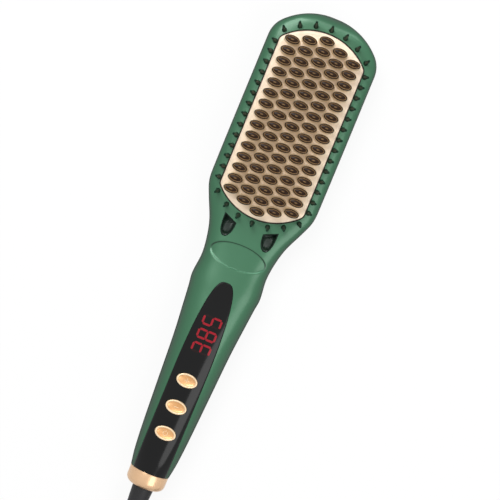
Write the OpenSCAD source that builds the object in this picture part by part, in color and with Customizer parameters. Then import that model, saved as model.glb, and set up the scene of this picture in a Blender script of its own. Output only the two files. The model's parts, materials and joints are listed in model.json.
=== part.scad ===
// Hair straightener brush: a moulded two-part housing, a heated plate with capped teeth, guard pins,
// a control panel with a display and three buttons, and a swivelling mains cord.
// +Y runs to the head's tip, +Z is the bristle side, and the brush lies on its back at Z = 0.

/* [Housing] */
// Length from the head's tip to the end of the cuff
body_len = 288; // [282:1:300]
// Length of the wide head
head_len = 104; // [101:1:108]
// Length over which the head narrows to the neck
neck_len = 48; // [44:1:52]
// Distance from the narrowest place to the shoulder of the grip
shoulder_drop = 12; // [10:0.5:14]
// Width of the head
head_w = 64.9; // [64:0.1:68]
// Height of the head's rim above the back
head_h = 24; // [23.5:0.1:26]
// Width at the narrowest place of the neck
neck_w = 39.8; // [38:0.1:42]
// Width at the shoulder of the grip
shoulder_w = 41.8; // [40:0.1:44]
// Width in the middle of the grip
grip_w = 31.5; // [30:0.1:34]
// Height of the crown of the grip above the back
grip_h = 29.4; // [29:0.1:31]
// How far the neck's back stands off the table
waist_lift = 2; // [1:0.1:3]
// Radius of the arc at the head's tip
tip_r = 39.5; // [38:0.5:44]
// Radius of the head's two upper corners
corner_r = 15.2; // [13:0.1:17]
// Length of the roll at the head's tip
nose_r = 9; // [7:0.5:10]
// Thickness of the housing's wall
wall = 2.2; // [2:0.1:2.4]
// Depth of the cut that makes the back flat
belly = 0.4; // [0.2:0.1:0.6]
// Height of the parting line in the head
head_seam = 12; // [11:0.1:13]
// Height of the handle's axis above the back
axis_z = 14.6; // [14:0.1:15]

/* [Cuff and swivel] */
// Length of the cuff
cuff_len = 9.7; // [9:0.1:11]
// Outer diameter of the cuff
cuff_d = 22.9; // [22.4:0.1:23.4]
// Radius of the cuff's rounded end
cuff_round = 4.1; // [3:0.1:4.5]
// Thickness of the cuff's end wall
cuff_end = 3.4; // [3:0.1:3.8]
// Length of the cord boot outside the cuff
boot_len = 38; // [34:1:42]
// Diameter of the boot at the cuff
boot_d = 12.5; // [12:0.1:13]
// Diameter of the boot at its thin end
boot_tip_d = 7.4; // [7:0.1:8]
// Ring grooves in the boot
boot_grooves = 5; // [3:1:6]
// Radial running clearance of the swivel
swivel_gap = 0.05; // [0.03:0.01:0.08]
// Diameter of the spindle in its socket
spindle_d = 10.3; // [9.8:0.1:10.6]
// Outer diameter of the socket
socket_d = 15.1; // [14.6:0.1:15.4]

/* [Heating plate] */
// Width of the plate, as a share of the head's width
plate_share = 0.7797; // [0.765:0.0001:0.785]
// Length of the plate
plate_len = 111.2; // [110:0.1:113]
// Distance from the head's tip to the plate
plate_margin = 10.6; // [10.4:0.1:11.4]
// Radius of the plate's arched ends, as a share of its width
plate_end_share = 0.6719; // [0.64:0.0001:0.75]
// Radius of the plate's four corners
plate_corner_r = 4; // [3:0.5:6]
// Thickness of the plate
plate_t = 2; // [1.8:0.1:2.4]
// Depth of the plate's face below the rim's crown
plate_sink = 0.3; // [0.2:0.1:0.6]
// Width of the seal round the plate
seal_w = 0.7; // [0.5:0.1:0.9]

/* [Teeth] */
// Length of a tooth across the brush, as a share of the plate's width
tooth_share = 0.1838; // [0.17:0.0001:0.187]
// Width of a tooth along the brush
tooth_w = 5.3; // [4.8:0.1:5.6]
// Height of a metal tooth above the plate
tooth_h = 9; // [7:0.5:11]
// How much a tooth narrows to its top on each side
tooth_draft = 0.4; // [0.2:0.05:0.5]
// Height of a cap
cap_h = 3; // [2.5:0.1:4]
// Spacing of the teeth along the brush
tooth_pitch = 6.4; // [6.3:0.01:6.5]
// Spacing of the columns of teeth, as a share of the plate's width
column_share = 0.1804; // [0.18:0.0001:0.184]
// Teeth in the middle column
middle_teeth = 17; // [13:1:17]

/* [Guard pins] */
// Height of a pin above the rim
pin_h = 11.5; // [9:0.5:13]
// Diameter of a pin above its collar
pin_d = 2.3; // [2:0.1:2.4]
// Diameter of a pin at its tip
pin_tip_d = 1.3; // [1.1:0.1:1.6]
// Diameter of a pin's collar
collar_d = 2.9; // [2.7:0.1:3]
// Spacing of the pins along the sides
pin_pitch = 6.35; // [6.1:0.05:6.4]
// Distance from the plate's edge to the pins
pin_offset = 1.9; // [1.85:0.01:2]
// Pins along each side
side_pins = 14; // [10:1:14]
// Angle between the pins at the ends
end_pin_step = 14.1; // [13.8:0.1:14.4]
// Lean of the pins away from the plate
pin_lean = 8; // [5:0.5:10]

/* [Outlet ports] */
// Distance of a port's lowest point from the middle
port_x = 12.4; // [12:0.1:12.8]
// Distance from the plate's lower edge to a port's lowest point
port_drop = 15.4; // [15:0.1:16]
// Depth of a port at its deep end
port_depth = 5; // [4:0.1:5.5]
// Thickness of the rim of a port
port_rim = 0.8; // [0.6:0.1:1]

/* [Badge recess] */
// Length of the oval recess across the neck
badge_l = 33.4; // [30:0.1:34]
// Width of the oval recess along the neck
badge_w = 14.3; // [13:0.1:15]
// Depth of the oval recess
badge_depth = 0.5; // [0.3:0.1:0.7]

/* [Control panel] */
// Width of the panel
panel_w = 19.5; // [19:0.1:20]
// Length of the panel from the cuff, as a share of the grip's length
panel_share = 1.0254; // [1:0.0001:1.03]
// Length of the panel's rounded tip, as a share of the panel's length
panel_tip_share = 0.4693; // [0.43:0.0001:0.51]
// Thickness of the panel
panel_t = 1.3; // [1.2:0.05:1.4]
// How far the panel stands above the housing
panel_proud = 0.3; // [0.2:0.05:0.4]
// Gap round the panel
panel_gap = 0.15; // [0.1:0.05:0.2]

/* [Buttons] */
// Length of a button across the panel
button_l = 12.3; // [11.8:0.1:12.5]
// Width of a button along the panel
button_w = 7.9; // [7.4:0.1:8.2]
// Spacing of the buttons, as a share of the panel's length
button_pitch_share = 0.1378; // [0.135:0.0001:0.14]
// Distance from the cuff to the middle button, as a share of the panel's length
button_share = 0.3558; // [0.35:0.0001:0.362]
// How far a button stands above the panel
button_proud = 0.9; // [0.8:0.1:1.1]
// Travel of a button
button_travel = 0.5; // [0.3:0.1:0.6]
// Gap round a button
button_gap = 0.25; // [0.2:0.05:0.35]

/* [Display] */
// Height of a digit, which runs across the panel
digit_h = 11.4; // [10.4:0.1:11.8]
// Width of a digit along the panel
digit_w = 6; // [5.6:0.1:6.2]
// Spacing of the digits
digit_pitch = 8.1; // [8:0.05:8.4]
// Width of a bar of a digit
bar_w = 1.2; // [1:0.1:1.4]
// Distance from the cuff to the middle digit, as a share of the panel's length
display_share = 0.7304; // [0.725:0.0001:0.734]
// Sideways place of the digits
display_x = 0.5; // [0:0.1:0.7]

/* [Heater] */
// Width of a ceramic heater, as a share of the plate's width
heater_share = 0.2371; // [0.22:0.0001:0.25]
// Length of a ceramic heater
heater_len = 84; // [76:1:90]
// Thickness of a ceramic heater
heater_t = 1.6; // [1.4:0.1:1.8]
// Thickness of the mica sheet
mica_t = 0.4; // [0.3:0.1:0.5]
// Thickness of the clamp sheet
clamp_t = 1; // [0.8:0.1:1.2]
// Height of the heat shield above the back
shield_z = 6; // [5.6:0.1:7]

/* [Board] */
// Width of the board
board_w = 15; // [14:0.5:16]
// Length of the board, as a share of the panel's length
board_share = 0.7082; // [0.7:0.0001:0.716]
// Thickness of the board
board_t = 1.6; // [1.2:0.1:2]
// Height of the board's upper face above the back
board_z = 21.6; // [21.4:0.1:21.8]

/* [Screws] */
// Diameter of the housing screws
screw_d = 2.6; // [2.4:0.1:3]
// Diameter of the housing screws' heads
screw_head_d = 5; // [4.6:0.1:5.4]
// Diameter of the small inner screws
small_screw_d = 2; // [1.8:0.1:2.2]
// Clearance of a screw in its hole
screw_gap = 0.03; // [0.02:0.01:0.05]

/* [Cord and plug] */
// Diameter of the cord
cord_d = 5.6; // [5:0.1:5.6]
// Thickness of the plug
plug_t = 13.7; // [13:0.1:13.8]
// Width of the plug at its face
plug_w = 35.3; // [34:0.1:36]
// Length of the plug's body
plug_len = 30; // [28:0.5:32]
// Diameter of a plug pin
plug_pin_d = 4; // [4:0.1:4.8]
// Length of a plug pin
plug_pin_len = 19; // [18:0.5:20]
// Spacing of the plug pins
plug_pin_pitch = 19; // [18:0.1:19.5]

/* [Hidden] */
$fn = 48;

green = [0.32, 0.54, 0.40];
gold = [0.93, 0.79, 0.60];
gloss_black = [0.12, 0.12, 0.13];
dark = [0.08, 0.10, 0.09];
brown = [0.22, 0.15, 0.10];
steel = [0.72, 0.72, 0.74];
ceramic_white = [0.93, 0.92, 0.88];
board_green = [0.10, 0.35, 0.22];
copper = [0.80, 0.50, 0.30];

/* Places along the brush */
tip = body_len / 2;
y_head = tip - head_len;
y_neck = y_head - neck_len;
y_shoulder = y_neck - shoulder_drop;
y_end = -tip + cuff_len;
end_r = cuff_d / 2 + 0.15;
plate_top = head_h - plate_sink;
plate_under = plate_top - plate_t;
plate_y = tip - plate_margin - plate_len / 2;
plate_w = plate_share * head_w;
plate_end_r = plate_end_share * plate_w;
tooth_l = tooth_share * plate_w;
column_pitch = column_share * plate_w;
plate_low_y = plate_y - plate_len / 2;

function mix(a, b, f) = a + (b - a) * f;
function spread(a, b, n) = [for (k = [1 : n]) mix(a, b, k / n)];
function along_grip(f) = mix(y_shoulder, y_end, f);

/* The housing's shape: each row gives y, half width, top, bottom, parting line and the powers of
   the superellipses above and below the parting line. The shares are those of an S-shaped neck
   and of a slightly waisted grip. */
function neck_row(f, wide, rise, lift, seam, up, low) = [
    mix(y_head, y_neck, f), mix(neck_w, head_w, wide) / 2, mix(head_h, grip_h, rise),
    mix(-belly, waist_lift, lift), mix(head_seam, axis_z, seam), up, low
];
function grip_row(f, wide, rise, lift, seam, up, low) = [
    along_grip(f), mix(grip_w, shoulder_w, wide) / 2, mix(head_h, grip_h, rise),
    mix(-belly, waist_lift, lift), mix(head_seam, axis_z, seam), up, low
];
function end_row(f, share, up, low) = [
    along_grip(f), mix(end_r, grip_w / 2, share), mix(axis_z + end_r, grip_h, share),
    mix(axis_z - end_r, -belly, share), axis_z, up, low
];
rows = [
    [tip, head_w / 2, head_h, -belly, head_seam, 6, 5],
    neck_row(0, 1, 0, 0, 0, 6, 5),
    neck_row(0.167, 0.944, 0.01, 0.08, 0.01, 5.9, 4.9),
    neck_row(0.333, 0.701, 0.03, 0.29, 0.05, 5.4, 4.5),
    neck_row(0.583, 0.283, 0.10, 0.67, 0.15, 4.4, 3.8),
    neck_row(0.792, 0.084, 0.19, 0.92, 0.28, 3.7, 3.3),
    neck_row(1, 0, 0.31, 1, 0.40, 3.3, 3),
    grip_row(0, 1, 0.50, 0.88, 0.55, 2.9, 2.7),
    grip_row(0.061, 0.845, 0.59, 0.75, 0.62, 2.8, 2.6),
    grip_row(0.14, 0.67, 0.72, 0.58, 0.72, 2.7, 2.5),
    grip_row(0.315, 0.311, 0.91, 0.25, 0.88, 2.5, 2.4),
    grip_row(0.56, 0, 1, 0.03, 1, 2.4, 2.35),
    end_row(0.805, 0.602, 2.3, 2.25),
    end_row(0.927, 0.313, 2.15, 2.1),
    end_row(1, 0, 2, 2)
];
last_row = len(rows) - 1;

function row_at(y, i = 0) = i >= last_row - 1 || y >= rows[i + 1][0] ? i : row_at(y, i + 1);
function slope(i, c) =
    let (a = max(i - 1, 0), b = min(i + 1, last_row))
    (rows[b][c] - rows[a][c]) / (rows[b][0] - rows[a][0]);
// Cubic curve through the rows' values in column c
function shape_at(y, c) =
    let (i = row_at(y), h = rows[i + 1][0] - rows[i][0], t = (y - rows[i][0]) / h)
    (2 * t ^ 3 - 3 * t ^ 2 + 1) * rows[i][c] + (t ^ 3 - 2 * t ^ 2 + t) * h * slope(i, c)
    + (3 * t ^ 2 - 2 * t ^ 3) * rows[i + 1][c] + (t ^ 3 - t ^ 2) * h * slope(i + 1, c);

/* The head's outline ends in an arc with two rounded corners. g is how far inside the skin. */
corner_x = head_w / 2 - corner_r;
arc_y = tip - tip_r;
corner_y = arc_y + sqrt((tip_r - corner_r) ^ 2 - corner_x ^ 2);
function arc_meets(g) = corner_y + (corner_r - g) * (corner_y - arc_y) / (tip_r - corner_r);
function half_width(y, g = 0) =
    y <= corner_y ? shape_at(y, 1) - g
    : y <= arc_meets(g) ? corner_x + sqrt(max(0, (corner_r - g) ^ 2 - (y - corner_y) ^ 2))
    : sqrt(max(0, (tip_r - g) ^ 2 - (y - arc_y) ^ 2));
// Share of the full height at a distance from the tip
nose_power = 2.4;
function nose(y, g = 0) =
    let (d = (tip - g - y) / (nose_r - g / 2))
    d >= 1 ? 1 : d <= 0 ? 0 : (1 - (1 - d) ^ nose_power) ^ (1 / nose_power);
// Height of the upper skin at x, y
function crown(x, y, g = 0) =
    let (n = shape_at(y, 5), seam = shape_at(y, 4), share = min(1, abs(x) / half_width(y, g)))
    seam + (shape_at(y, 2) - seam - g) * nose(y, g) * (1 - share ^ n) ^ (1 / n);
// Height of the lower skin at x, y
function sole(x, y, g = 0) =
    let (n = shape_at(y, 6), seam = shape_at(y, 4), share = min(1, abs(x) / half_width(y, g)))
    seam - (seam - shape_at(y, 3) - g) * nose(y, g) * (1 - share ^ n) ^ (1 / n);

/* Rings of the shells: close together at the tip and in the neck */
ring_cells = 20;
nose_rings = 9;
function ring_ys(g) = concat(
    [for (k = [0 : nose_rings]) mix(tip - g, corner_y, 1 - cos(90 * k / nose_rings))],
    spread(corner_y, y_head, 4), spread(y_head, y_neck, 10), spread(y_neck, y_shoulder, 3),
    spread(y_shoulder, y_end, 13)
);
function ring_point(y, angle, g, up) =
    let (
        n = shape_at(y, up ? 5 : 6), seam = shape_at(y, 4), c = cos(angle), s = sin(angle),
        reach = up ? shape_at(y, 2) - seam - g : shape_at(y, 3) - seam + g,
        x = abs(c) < 1e-9 ? 0 : sign(c) * abs(c) ^ (2 / n),
        z = abs(s) < 1e-9 ? 0 : s ^ (2 / n)
    ) [x * half_width(y, g), y, seam + reach * nose(y, g) * z];
function skin_points(g, up) =
    let (ys = ring_ys(g)) concat(
        [[0, ys[0], shape_at(ys[0], 4)]],
        [for (i = [1 : len(ys) - 1], j = [0 : ring_cells]) ring_point(ys[i], 180 * j / ring_cells, g, up)]
    );
function cell(i, j) = i == 0 ? 0 : 1 + (i - 1) * (ring_cells + 1) + j;
function flip(faces) = [for (f = faces) [f[2], f[1], f[0]]];
function quad(a, b, c, d) = [[a, b, c], [a, c, d]];
function skin_faces(rings, base) = concat(
    [for (j = [0 : ring_cells - 1]) [base, base + cell(1, j), base + cell(1, j + 1)]],
    [for (i = [1 : rings - 2], j = [0 : ring_cells - 1], f = quad(
        base + cell(i, j), base + cell(i + 1, j), base + cell(i + 1, j + 1), base + cell(i, j + 1)
    )) f]
);

// Half of the housing's wall, above or below the parting line
module half_shell(up) {
    outer = skin_points(0, up);
    inner = skin_points(wall, up);
    rings = len(ring_ys(0));
    base = len(outer);
    seam_faces = [for (j = [0, ring_cells], i = [0 : rings - 2], f = quad(
        cell(i, j), cell(i + 1, j), base + cell(i + 1, j), base + cell(i, j)
    )) j == 0 ? [f[2], f[1], f[0]] : f];
    end_faces = [for (j = [0 : ring_cells - 1], f = quad(
        cell(rings - 1, j), base + cell(rings - 1, j), base + cell(rings - 1, j + 1),
        cell(rings - 1, j + 1)
    )) f];
    faces = concat(skin_faces(rings, 0), flip(skin_faces(rings, base)), seam_faces, end_faces);
    polyhedron(concat(outer, inner), up ? faces : flip(faces), convexity = 8);
}

/* A slab over the crown: from depth low under the skin to depth high or to a flat height, inside
   an outline whose half width is a function of y */
function slab_z(x, y, depth, flat) = flat == undef ? crown(x, y, depth) : flat;
module crown_slab(ys, half, low, high, flat = undef, cells = 8) {
    n = cells + 1;
    points = [for (top = [false, true], y = ys, j = [0 : cells])
        let (x = half(y) * (2 * j / cells - 1))
        [x, y, top ? slab_z(x, y, high, flat) : crown(x, y, low)]];
    m = len(ys) * n;
    last = len(ys) - 1;
    sheet = [for (i = [0 : last - 1], j = [0 : cells - 1], f = quad(
        i * n + j, i * n + j + 1, (i + 1) * n + j + 1, (i + 1) * n + j
    )) f];
    sides = concat(
        [for (i = [0 : last - 1], f = quad(i * n, (i + 1) * n, m + (i + 1) * n, m + i * n)) f],
        [for (i = [0 : last - 1], f = quad(
            i * n + cells, m + i * n + cells, m + (i + 1) * n + cells, (i + 1) * n + cells
        )) f],
        [for (j = [0 : cells - 1], f = quad(j, m + j, m + j + 1, j + 1)) f],
        [for (j = [0 : cells - 1], f = quad(
            last * n + j, last * n + j + 1, m + last * n + j + 1, m + last * n + j
        )) f]
    );
    upper = [for (f = sheet) [m + f[2], m + f[1], m + f[0]]];
    faces = concat(sheet, upper, sides);
    polyhedron(points, ys[0] < ys[last] ? faces : flip(faces), convexity = 6);
}

/* Outlines */
function arc(cx, cy, r, a, b, n) = [for (k = [0 : n]) let (t = mix(a, b, k / n)) [cx + r * cos(t), cy + r * sin(t)]];
// The plate's outline, grown by g: two arched ends with rounded corners
function plate_quarter(g) =
    let (
        cr = plate_corner_r + g, er = plate_end_r + g, cx = plate_w / 2 - plate_corner_r,
        ay = plate_len / 2 - plate_end_r,
        cy = ay + sqrt((plate_end_r - plate_corner_r) ^ 2 - cx ^ 2),
        turn = atan2(cy - ay, cx)
    ) concat(arc(cx, cy, cr, 0, turn, 4), arc(0, ay, er, turn, 90, 8));
function plate_points(g) =
    let (q = plate_quarter(g), n = len(q)) concat(
        q,
        [for (k = [n - 2 : -1 : 0]) [-q[k][0], q[k][1]]],
        [for (k = [0 : n - 1]) [-q[k][0], -q[k][1]]],
        [for (k = [n - 2 : -1 : 0]) [q[k][0], -q[k][1]]]
    );
module plate_slab(g, low, high) {
    translate([0, plate_y, low]) linear_extrude(high - low) polygon(plate_points(g));
}
function oval_points(a, b, n = 24) = [for (k = [0 : n - 1]) [a * cos(360 * k / n), b * sin(360 * k / n)]];
module oval_slab(a, b, low, high) {
    translate([0, 0, low]) linear_extrude(high - low) polygon(oval_points(a, b));
}
module block(x0, x1, y0, y1, z0, z1) {
    translate([x0, y0, z0]) cube([x1 - x0, y1 - y0, z1 - z0]);
}
module post(x, y, r, low, high) {
    translate([x, y, low]) cylinder(r = r, h = high - low);
}
// A turned piece about the handle's axis: its profile has the radius first and then y
module turned() {
    translate([0, 0, axis_z]) rotate([-90, 0, 0]) rotate_extrude() children();
}
module ring_2d(r0, r1, y0, y1) {
    translate([r0, y0]) square([r1 - r0, y1 - y0]);
}

/* Tubes swept along a route */
function unit(v) = v / norm(v);
function heading(p, i) = unit(p[min(i + 1, len(p) - 1)] - p[max(i - 1, 0)]);
function tube_points(p, r, sides, up) = [for (i = [0 : len(p) - 1], k = [0 : sides - 1])
    let (d = heading(p, i), s = unit(cross(d, up)), w = cross(s, d), a = 360 * (k + 0.5) / sides)
    p[i] + r * (cos(a) * s + sin(a) * w)];
module tube(p, r, sides, up = [0, 0, 1]) {
    n = len(p);
    walls = [for (i = [0 : n - 2], k = [0 : sides - 1], f = quad(
        i * sides + k, i * sides + (k + 1) % sides, (i + 1) * sides + (k + 1) % sides, (i + 1) * sides + k
    )) f];
    ends = concat(
        [for (k = [1 : sides - 2]) [0, k + 1, k]],
        [for (k = [1 : sides - 2]) (n - 1) * sides * [1, 1, 1] + [0, k, k + 1]]
    );
    polyhedron(tube_points(p, r, sides, up), concat(walls, ends), convexity = 10);
}

/* Places of the pins: along the two sides, and in arcs round the two ends */
side_pin_x = plate_w / 2 + pin_offset;
end_pin_r = plate_end_r + pin_offset + 0.85;
end_pin_cy = plate_len / 2 - plate_end_r;
// Each pin has x, y and the direction in which it leans
pins = concat(
    [for (side = [-1, 1], k = [0 : side_pins - 1])
        [side * side_pin_x, plate_y + (k - (side_pins - 1) / 2) * pin_pitch, side > 0 ? 0 : 180]],
    [for (end = [-1, 1], k = [-3 : 3])
        let (a = end * 90 - end * k * end_pin_step)
        [end_pin_r * cos(a), plate_y + end * end_pin_cy + end_pin_r * sin(a), a]]
);
collar_seat = 0.25;
pin_root = 2.2;
pin_root_d = 1.4;
seal_sink = 0.75;
module at_pins() {
    for (p = pins)
        translate([p[0], p[1], crown(p[0], p[1])]) rotate([0, 0, p[2]]) rotate([0, pin_lean, 0]) children();
}

/* Places of the teeth: staggered columns, one tooth fewer in each column further out */
columns = [-2 : 2];
teeth = [for (c = columns, k = [0 : middle_teeth - 1 - abs(c)])
    [c * column_pitch, plate_y + (k - (middle_teeth - 1 - abs(c)) / 2) * tooth_pitch]];
tooth_sides = 16;

/* Ports: fang-shaped outline from its three corners, drawn for the right side */
port_low_y = plate_low_y - port_drop;
port_outer = [3.8, 12.6];
port_inner = [-4.2, 9.1];
function bezier(a, b, c, n) = [for (k = [0 : n]) let (t = k / n)
    (1 - t) ^ 2 * a + 2 * t * (1 - t) * b + t ^ 2 * c];
port_shape = concat(
    bezier(port_outer, [4.1, 1.4], [0.6, 0], 7),
    bezier([-0.6, 0], [-4.1, 1.6], port_inner, 7)
);
port_middle = [0, 7];
function port_points(g) = [for (p = port_shape) port_middle + (p - port_middle) * (1 + g / 5)];
port_gap = 0.05;
port_span = 14;
module port_slab(g, low, high) {
    translate([port_x, port_low_y, low]) linear_extrude(high - low) polygon(port_points(g));
}

/* What stands on the grip keeps its share of the grip's length */
grip_len = y_shoulder - y_end;
panel_len = panel_share * grip_len;
panel_tip_len = panel_tip_share * panel_len;
button_pitch = button_pitch_share * panel_len;
button_place = button_share * panel_len;
display_place = display_share * panel_len;
board_len = board_share * panel_len;

/* Panel outline: straight sides and a rounded tip */
panel_tip_y = y_end + panel_len;
function panel_half(y, g = 0) =
    let (u = min(1, (panel_tip_y - y) / panel_tip_len))
    g + panel_w / 2 * (1 - (1 - u) ^ 2) ^ (1 / 3);
panel_ys = concat(
    [for (k = [0 : 9]) panel_tip_y - 0.02 - panel_tip_len * 0.7 * (k / 9) ^ 2],
    spread(panel_tip_y - panel_tip_len * 0.7, y_end, 7)
);
panel_under = panel_t - panel_proud;
seat_play = 0.05;

/* Buttons */
button_y = y_end + button_place;
button_ys = [button_y + button_pitch, button_y, button_y - button_pitch];
function button_top(y) = crown(0, y, -panel_proud) + button_proud;
switch_h = 2.2;
plunger_d = 3.4;
plunger_h = 0.9;
flange_t = 0.8;
flange_rim = 0.7;
// The flange lies just under the panel where the panel is lowest over it
function flange_z(y) =
    crown(button_l / 2 + flange_rim, y - button_w / 2 - flange_rim, panel_under) - seat_play - flange_t;
function plunger_top(y) = min(board_z + switch_h + plunger_h, flange_z(y));

/* Display */
display_y = y_end + display_place;
module_h = 4.6;
module_l = digit_h + 2.2;
module_w = 2 * digit_pitch + digit_w + 2;
module_top = board_z + module_h;
bar_gap = 0.15;
// Bars of a digit, as [place across the panel, place along it, whether it lies across]
bar_reach = digit_h / 2 - bar_w / 2;
bar_side = digit_w / 2 - bar_w / 2;
bars = [
    [-bar_reach, 0, false], [0, 0, false], [bar_reach, 0, false],
    [-bar_reach / 2, -bar_side, true], [-bar_reach / 2, bar_side, true],
    [bar_reach / 2, -bar_side, true], [bar_reach / 2, bar_side, true]
];
module bar_2d(across) {
    half = (across ? bar_reach / 2 : bar_side) - bar_gap;
    w = bar_w / 2;
    outline = [[-half, 0], [w - half, w], [half - w, w], [half, 0], [half - w, -w], [w - half, -w]];
    polygon(across ? outline : [for (p = outline) [p[1], -p[0]]]);
}
module digit_bars(low, high) {
    for (d = [-1 : 1], b = bars)
        translate([display_x + b[0], display_y + d * digit_pitch + b[1], low])
            linear_extrude(high - low) bar_2d(b[2]);
}

/* Board and what stands on it */
board_top_y = display_y + module_w / 2 + 1;
board_end_y = board_top_y - board_len;
board_under = board_z - board_t;
board_screw_y = (display_y - module_w / 2 + button_ys[0] + 3) / 2;
board_screw_x = 4.6;

/* Heater stack under the plate */
heater_x = plate_w * 0.1818;
heater_w = heater_share * plate_w;
heater_z = plate_under - heater_t;
mica_z = heater_z - mica_t;
clamp_z = mica_z - clamp_t;
clamp_w = 2 * heater_x + heater_w + 1;
clamp_len = heater_len + 4;
clamp_reach = plate_len * 0.324;
clamp_screw_ys = [plate_y - clamp_reach, plate_y, plate_y + clamp_reach];
clamp_boss_r = 2.4;
frame_screw_x = plate_w * 0.3874;
frame_reach = plate_len * 0.36;
frame_screw_ys = [plate_y - frame_reach, plate_y + frame_reach];
frame_h = 5;
frame_z = plate_under - frame_h;
frame_boss_r = 2.6;
frame_ear_t = 2;
frame_rim = 2.6;
sensor_y = plate_y - plate_len * 0.198;
frame_post_ys = [sensor_y, 2 * plate_y - sensor_y];
frame_post_x = plate_w / 2 - 0.4 - frame_rim / 2;
shield_t = 0.5;
shield_w = plate_w * 0.672;
shield_reach = heater_len / 2 + 4;
shield_rib_ys = clamp_screw_ys;
small_head_d = small_screw_d * 1.9;
small_head_t = 1.3;

/* Housing screws: four in the head and two in the shoulder */
screw_places = concat(
    [for (x = [-1, 1], y = [plate_y - clamp_reach, plate_y + plate_len * 0.342]) [x * (plate_w / 2 + 1.1), y]],
    [for (x = [-1, 1]) [x * shoulder_w * 0.311, y_shoulder - 2]]
);
screw_boss_r = screw_d / 2 + 1.4;
head_bore_r = screw_head_d / 2 + 0.3;
head_boss_r = head_bore_r + 1.2;
plug_depth = 2.6;
head_seat = plug_depth + 2;
screw_head_t = 1.8;
function screw_floor(p) = max(0, sole(abs(p[0]), p[1]));
function screw_seat(p) = screw_floor(p) + head_seat;
function plug_face(p) = max(0, sole(abs(p[0]) + head_bore_r, p[1]));
function screw_tip(p) = shape_at(p[1], 4) + 6;

/* Ion module in the neck */
ion_y0 = port_low_y - 8;
ion_y1 = plate_low_y - 2;
ion_w = 31;
ion_z0 = 8;
ion_z1 = 16;
// Parts of a rib under the module, open where the leads pass
lead_x = plate_w * 0.1976;
lead_slot = 1.4;
function rib_parts(half) = [
    [-half, -lead_x - lead_slot], [lead_slot - lead_x, -lead_slot],
    [lead_slot, lead_x - lead_slot], [lead_x + lead_slot, half]
];
needle_y = port_low_y + 8.2;
needle_x = port_x + 0.6;
needle_d = 0.8;
needle_hole_d = 2.2;
port_top_z = min(crown(port_x + 4, port_low_y + 12), crown(port_x, port_low_y)) - 0.1;
port_floor_z = port_top_z - port_depth;

/* Swivel, as distances along the handle's axis */
bulkhead_t = 2.5;
spigot_len = 5.4;
spigot_y = y_end - spigot_len;
spigot_r = 9.3;
cuff_bore_r = spigot_r + 0.1;
cuff_hole_r = boot_d / 2 + 0.25;
cuff_face_y = -tip;
cuff_wall_y = cuff_face_y + cuff_end;
socket_in_y = y_end + 6.2;
socket_flange_r = socket_d / 2 + 1.4;
flange_in_y = y_end + bulkhead_t;
spindle_in_y = socket_in_y + 1.6;
spindle_flange_r = socket_d / 2 - 0.6;
stem_r = 2.4;
ring_ys_in = [spindle_in_y + 1.4, spindle_in_y + 4.4];
ring_rs = [3.9, 3.0];
ring_len = 1.4;
stem_end_y = spindle_in_y + 7;
spindle_out_y = cuff_face_y + 0.5;
spindle_core_r = 3.6;
contact_gap = 0.05;
strip_t = 0.3;
block_y0 = stem_end_y + 1;
block_y1 = block_y0 + 6;

/* Lids and ribs in the rear housing */
board_rib_ys = [board_top_y - 3, block_y1 + 5];
rib_t = 1.6;

/* Components under the board, between its end rib and its screws */
parts_y = board_rib_ys[1] + rib_t / 2 + 0.5;
parts_len = board_screw_y - 3.2 - parts_y;
function part_y(share) = parts_y + share * parts_len;

/* Cord: the route's points stay as chosen */
cord_r = cord_d / 2;
boot_end_y = cuff_face_y - boot_len;
lead_route = [
    [0, -182, 14.6], [0, -185, 14.6], [0, -188, 14.6], [0, -191.5, 14.4], [0, -195, 13.9],
    [0, -198.5, 13.2], [0, -202, 12.2], [-0.1, -205.3, 11.2], [-0.5, -208.6, 10],
    [-1.2, -211.8, 8.9], [-2.1, -215, 7.7], [-3.2, -218.1, 6.6], [-4.6, -221.1, 5.6],
    [-6.2, -223.9, 4.7], [-8, -226.7, 4], [-9.93, -229.46, 3.4], [-12.4, -231.9, 3.4]
];
tail_route = [
    [49.9, -237.3, 9.5], [48.311, -234.994, 9.5], [47.1, -232.4, 9.1], [46, -229.8, 8.7],
    [45.2, -227.2, 8.2], [44.6, -224.5, 7.7], [44.2, -221.7, 7.3], [44.1, -218.9, 7],
    [44.1, -216, 6.9], [44.1, -213, 6.9]
];
coil_x = 15.8;
coil_y = -268;
coil_z = 3.4;
coil_r = 45.5;
coil_step = 6.1;
coil_start = 135;
coil_turns = 7 + 260 / 360;
loop_rings = 24;
coil_rings = round(coil_turns * loop_rings);
function coil_point(k) =
    let (
        turn = coil_turns * k / coil_rings, half = coil_turns / 2,
        r = coil_r - coil_step * (half - abs(turn - half)),
        climb = max(0, min(1, (turn - half + 0.25) / 0.5)),
        z = coil_z + coil_step * climb * climb * (3 - 2 * climb), a = coil_start + 360 * turn
    ) [coil_x + r * cos(a), coil_y + r * sin(a), z];
coil_route = concat(
    [lead_route[len(lead_route) - 1]], [for (k = [0 : coil_rings]) coil_point(k)], [tail_route[0]]
);
// Least distance between turns of the coil, less the cord's diameter
coil_gap = min([for (i = [0 : coil_rings], j = [i + 12 : coil_rings])
    norm(coil_route[i + 1] - coil_route[j + 1])]) - cord_d;
echo(coil_least_gap_mm = coil_gap);

/* Plug, lying beside the boot */
plug_x = 44.1;
plug_z = 6.9;
plug_relief_y = -213;
plug_relief_len = 14;
plug_y0 = plug_relief_y + plug_relief_len;
plug_y1 = plug_y0 + plug_len;

/* ---------------------------------------------------------------- housing */

module seam_half(up, reach = 60) {
    z0 = up ? axis_z : axis_z - reach;
    translate([-reach / 2, y_end - reach / 2, z0]) cube([reach, reach, reach]);
}

module spigot(up) {
    intersection() {
        turned() {
            ring_2d(socket_d / 2, end_r - 1.2, y_end, y_end + bulkhead_t);
            ring_2d(socket_d / 2, spigot_r, spigot_y, y_end + 0.5);
        }
        seam_half(up);
    }
}

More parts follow.
